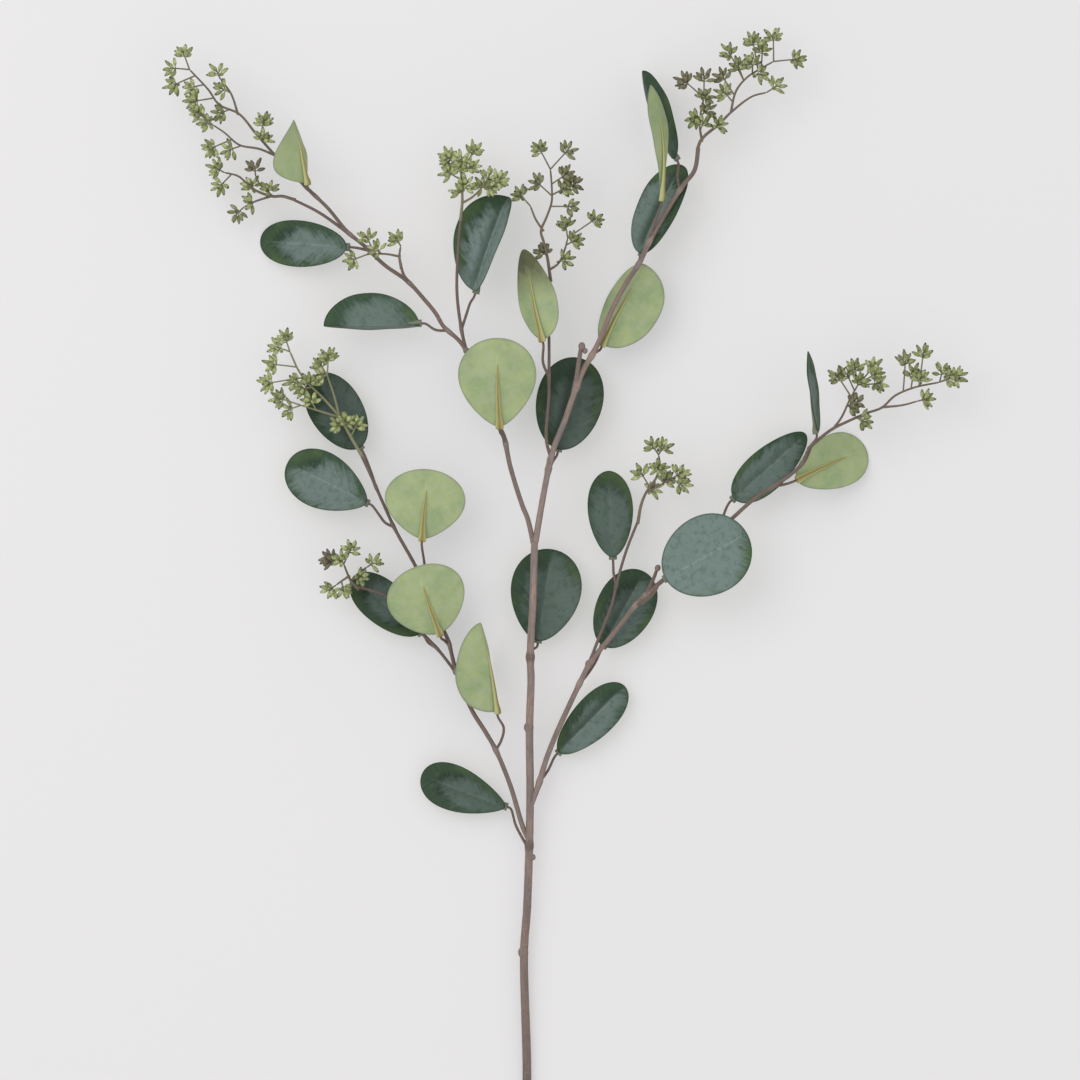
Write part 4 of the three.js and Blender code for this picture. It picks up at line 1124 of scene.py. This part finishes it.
# A cluster: a stalk from the twig to the crown, and nuts round the heading, a golden turn apart, that lean
# out further one after another
def addCluster(shape, lines, cluster, index, green, brown, shades):
    foot = tieTo(lines, cluster)
    rise = sprayLook["clusterLift"] * math.sin(sprayLook["goldenTurn"] * index)
    crown = np.array([*cluster, foot[2] + rise])
    heading = unit(crown - foot)
    stalk = np.linalg.norm(crown - foot)
    bend = foot + 0.5 * (crown - foot) + np.array([0, 0, sprayLook["stalkArch"] * stalk])
    addLimb(
        shape, [foot, bend, crown], sprayLook["stalkRadii"], sides=sprayLook["stalkSides"],
        lightness=green + sprayLook["stalkGreen"],
    )
    side = unit(np.cross((0, 0, 1), heading))
    lift = np.cross(heading, side)
    count = random.integers(*sprayLook["nuts"])
    low, high = np.radians(sprayLook["nutLean"])
    for j in range(count):
        turn = sprayLook["goldenTurn"] * j + index
        share = (j + sprayLook["firstShare"]) / count
        lean = low + (high - low) * math.sqrt(share) + random.normal(0, sprayLook["leanSpread"])
        outwards = unit(math.cos(turn) * side + sprayLook["fanFlatness"] * math.sin(turn) * lift)
        ahead = math.cos(lean) * heading + math.sin(lean) * outwards
        behind = min(sprayLook["tier"][0] + sprayLook["tier"][1] * share, sprayLook["mostBehind"] * stalk)
        addNut(shape, crown - behind * heading, ahead, brown, random.uniform(*shades))


# Clusters whose nuts have turned brown or purple: how far, by spray and cluster
brownClusters = {
    "nut_spray_centre": {1: 0.35, 3: 0.45, 4: 0.5, 5: 0.55, 6: 0.3, 10: 0.6},
    "nut_spray_upper_right_tip": {0: 0.7, 1: 0.6, 2: 0.6, 3: 0.3, 17: 0.5},
    "nut_spray_upper_left_low": {1: 0.8, 5: 0.4},
    "nut_spray_lower_left_side": {0: 0.8},
    "nut_spray_lower_right_tip": {0: 0.3, 5: 0.6, 7: 0.3, 17: 0.4},
}
# How far the nuts of a spray go from light green to dark olive: the least and the most of them
nutShades = {
    "nut_spray_centre": (0.35, 0.95),
    "nut_spray_upper_left_inner": (0, 0.45),
    "nut_spray_lower_left_tip": (0, 0.7),
    "nut_spray_upper_right_tip": (0.2, 0.9),
}
usualShades = (0.05, 0.85)


def makeSpray(node):
    spray = sprays[node]
    shape = Shape("nut", "grain", "limb")
    green = sprayLook["twigGreen"].get(node, sprayLook["usualGreen"])
    lines = []
    for i, twig in enumerate(spray["twigs"]):
        chain = [np.array(place, float) for place in twig]
        if i:
            chain[0] = nearestOn(lines, chain[0])
        lines.append(smoothPath(chain, sprayLook["twigStep"]))
        chain = chain if i else seated(chain)
        radii = sprayLook["twigRadii"][min(i, 1)]
        addLimb(shape, chain, radii, sides=sprayLook["twigSides"], lightness=green)
    for index, cluster in enumerate(spray["clusters"]):
        brown = brownClusters.get(node, {}).get(index, 0)
        addCluster(shape, lines, cluster, index, green, brown, nutShades.get(node, usualShades))
    shape.finish(node, "nuts", [finishes["bark"], finishes["nut"]])


for node in wood:
    makeWood(node)
print("woody pieces made:", len(wood))
for number, node in enumerate(leaves):
    makeLeaf(node, 1.7 * number)
print("leaves made:", len(leaves))
for node in sprays:
    makeSpray(node)
print("sprays made:", len(sprays))


studio = {
    "floorSize": 60,  # metres
    "floorDrop": 0.0003,  # how far the floor lies below the leaves that rest on it
    "floorRoughness": 0.9,
    "floorColor": displayColor(179, 177, 178),
    "floorGlow": 0.34,  # the floor is a pale light table, so that shadows on it stay faint
    "worldStrength": 0.87,
    "keySize": 2.4,
    "keyPower": 26,  # watts
    "keyPlace": (-1.4, 1.6, 2.6),
    "middle": (0.01125, 0.48, 0.03),
    "viewWidth": 0.81,  # metres across the picture, at the height of the middle
    "cameraHeight": 4,
    "sensor": 36,
    "clipEnd": 200,
}
white = (1, 1, 1, 1)


def makeStudio():
    half = studio["floorSize"] / 2
    low = -studio["floorDrop"]
    mesh = bpy.data.meshes.new("floor")
    corners = [(-half, -half, low), (half, -half, low), (half, half, low), (-half, half, low)]
    mesh.from_pydata(corners, [], [(0, 1, 2, 3)])
    floor = bpy.data.objects.new("floor", mesh)
    bpy.context.scene.collection.objects.link(floor)
    paper = newFinish(
        "floor_paper", studio["floorRoughness"], 0.1, Base_Color=studio["floorColor"], Emission_Color=white,
        Emission_Strength=studio["floorGlow"],
    )
    mesh.materials.append(paper)
    world = bpy.data.worlds.new("studio")
    world.use_nodes = True
    backdrop = world.node_tree.nodes["Background"]
    backdrop.inputs["Color"].default_value = white
    backdrop.inputs["Strength"].default_value = studio["worldStrength"]
    bpy.context.scene.world = world
    key = bpy.data.lights.new("key", "AREA")
    key.size = studio["keySize"]
    key.energy = studio["keyPower"]
    lamp = bpy.data.objects.new("key", key)
    lamp.location = studio["keyPlace"]
    aim = np.array(studio["middle"]) - studio["keyPlace"]
    lamp.rotation_euler = Vector(aim).to_track_quat("-Z", "Y").to_euler()
    bpy.context.scene.collection.objects.link(lamp)


def makeCamera():
    lens = bpy.data.cameras.new("camera")
    lens.sensor_width = studio["sensor"]
    lens.lens = studio["sensor"] * studio["cameraHeight"] / studio["viewWidth"]
    lens.clip_end = studio["clipEnd"]
    camera = bpy.data.objects.new("camera", lens)
    x, y, z = studio["middle"]
    camera.location = (x, y, z + studio["cameraHeight"])
    bpy.context.scene.collection.objects.link(camera)
    bpy.context.scene.camera = camera


makeStudio()
makeCamera()
bpy.context.scene.view_settings.view_transform = "Standard"  # the colours above are meant as seen on a screen
print("studio and camera made")
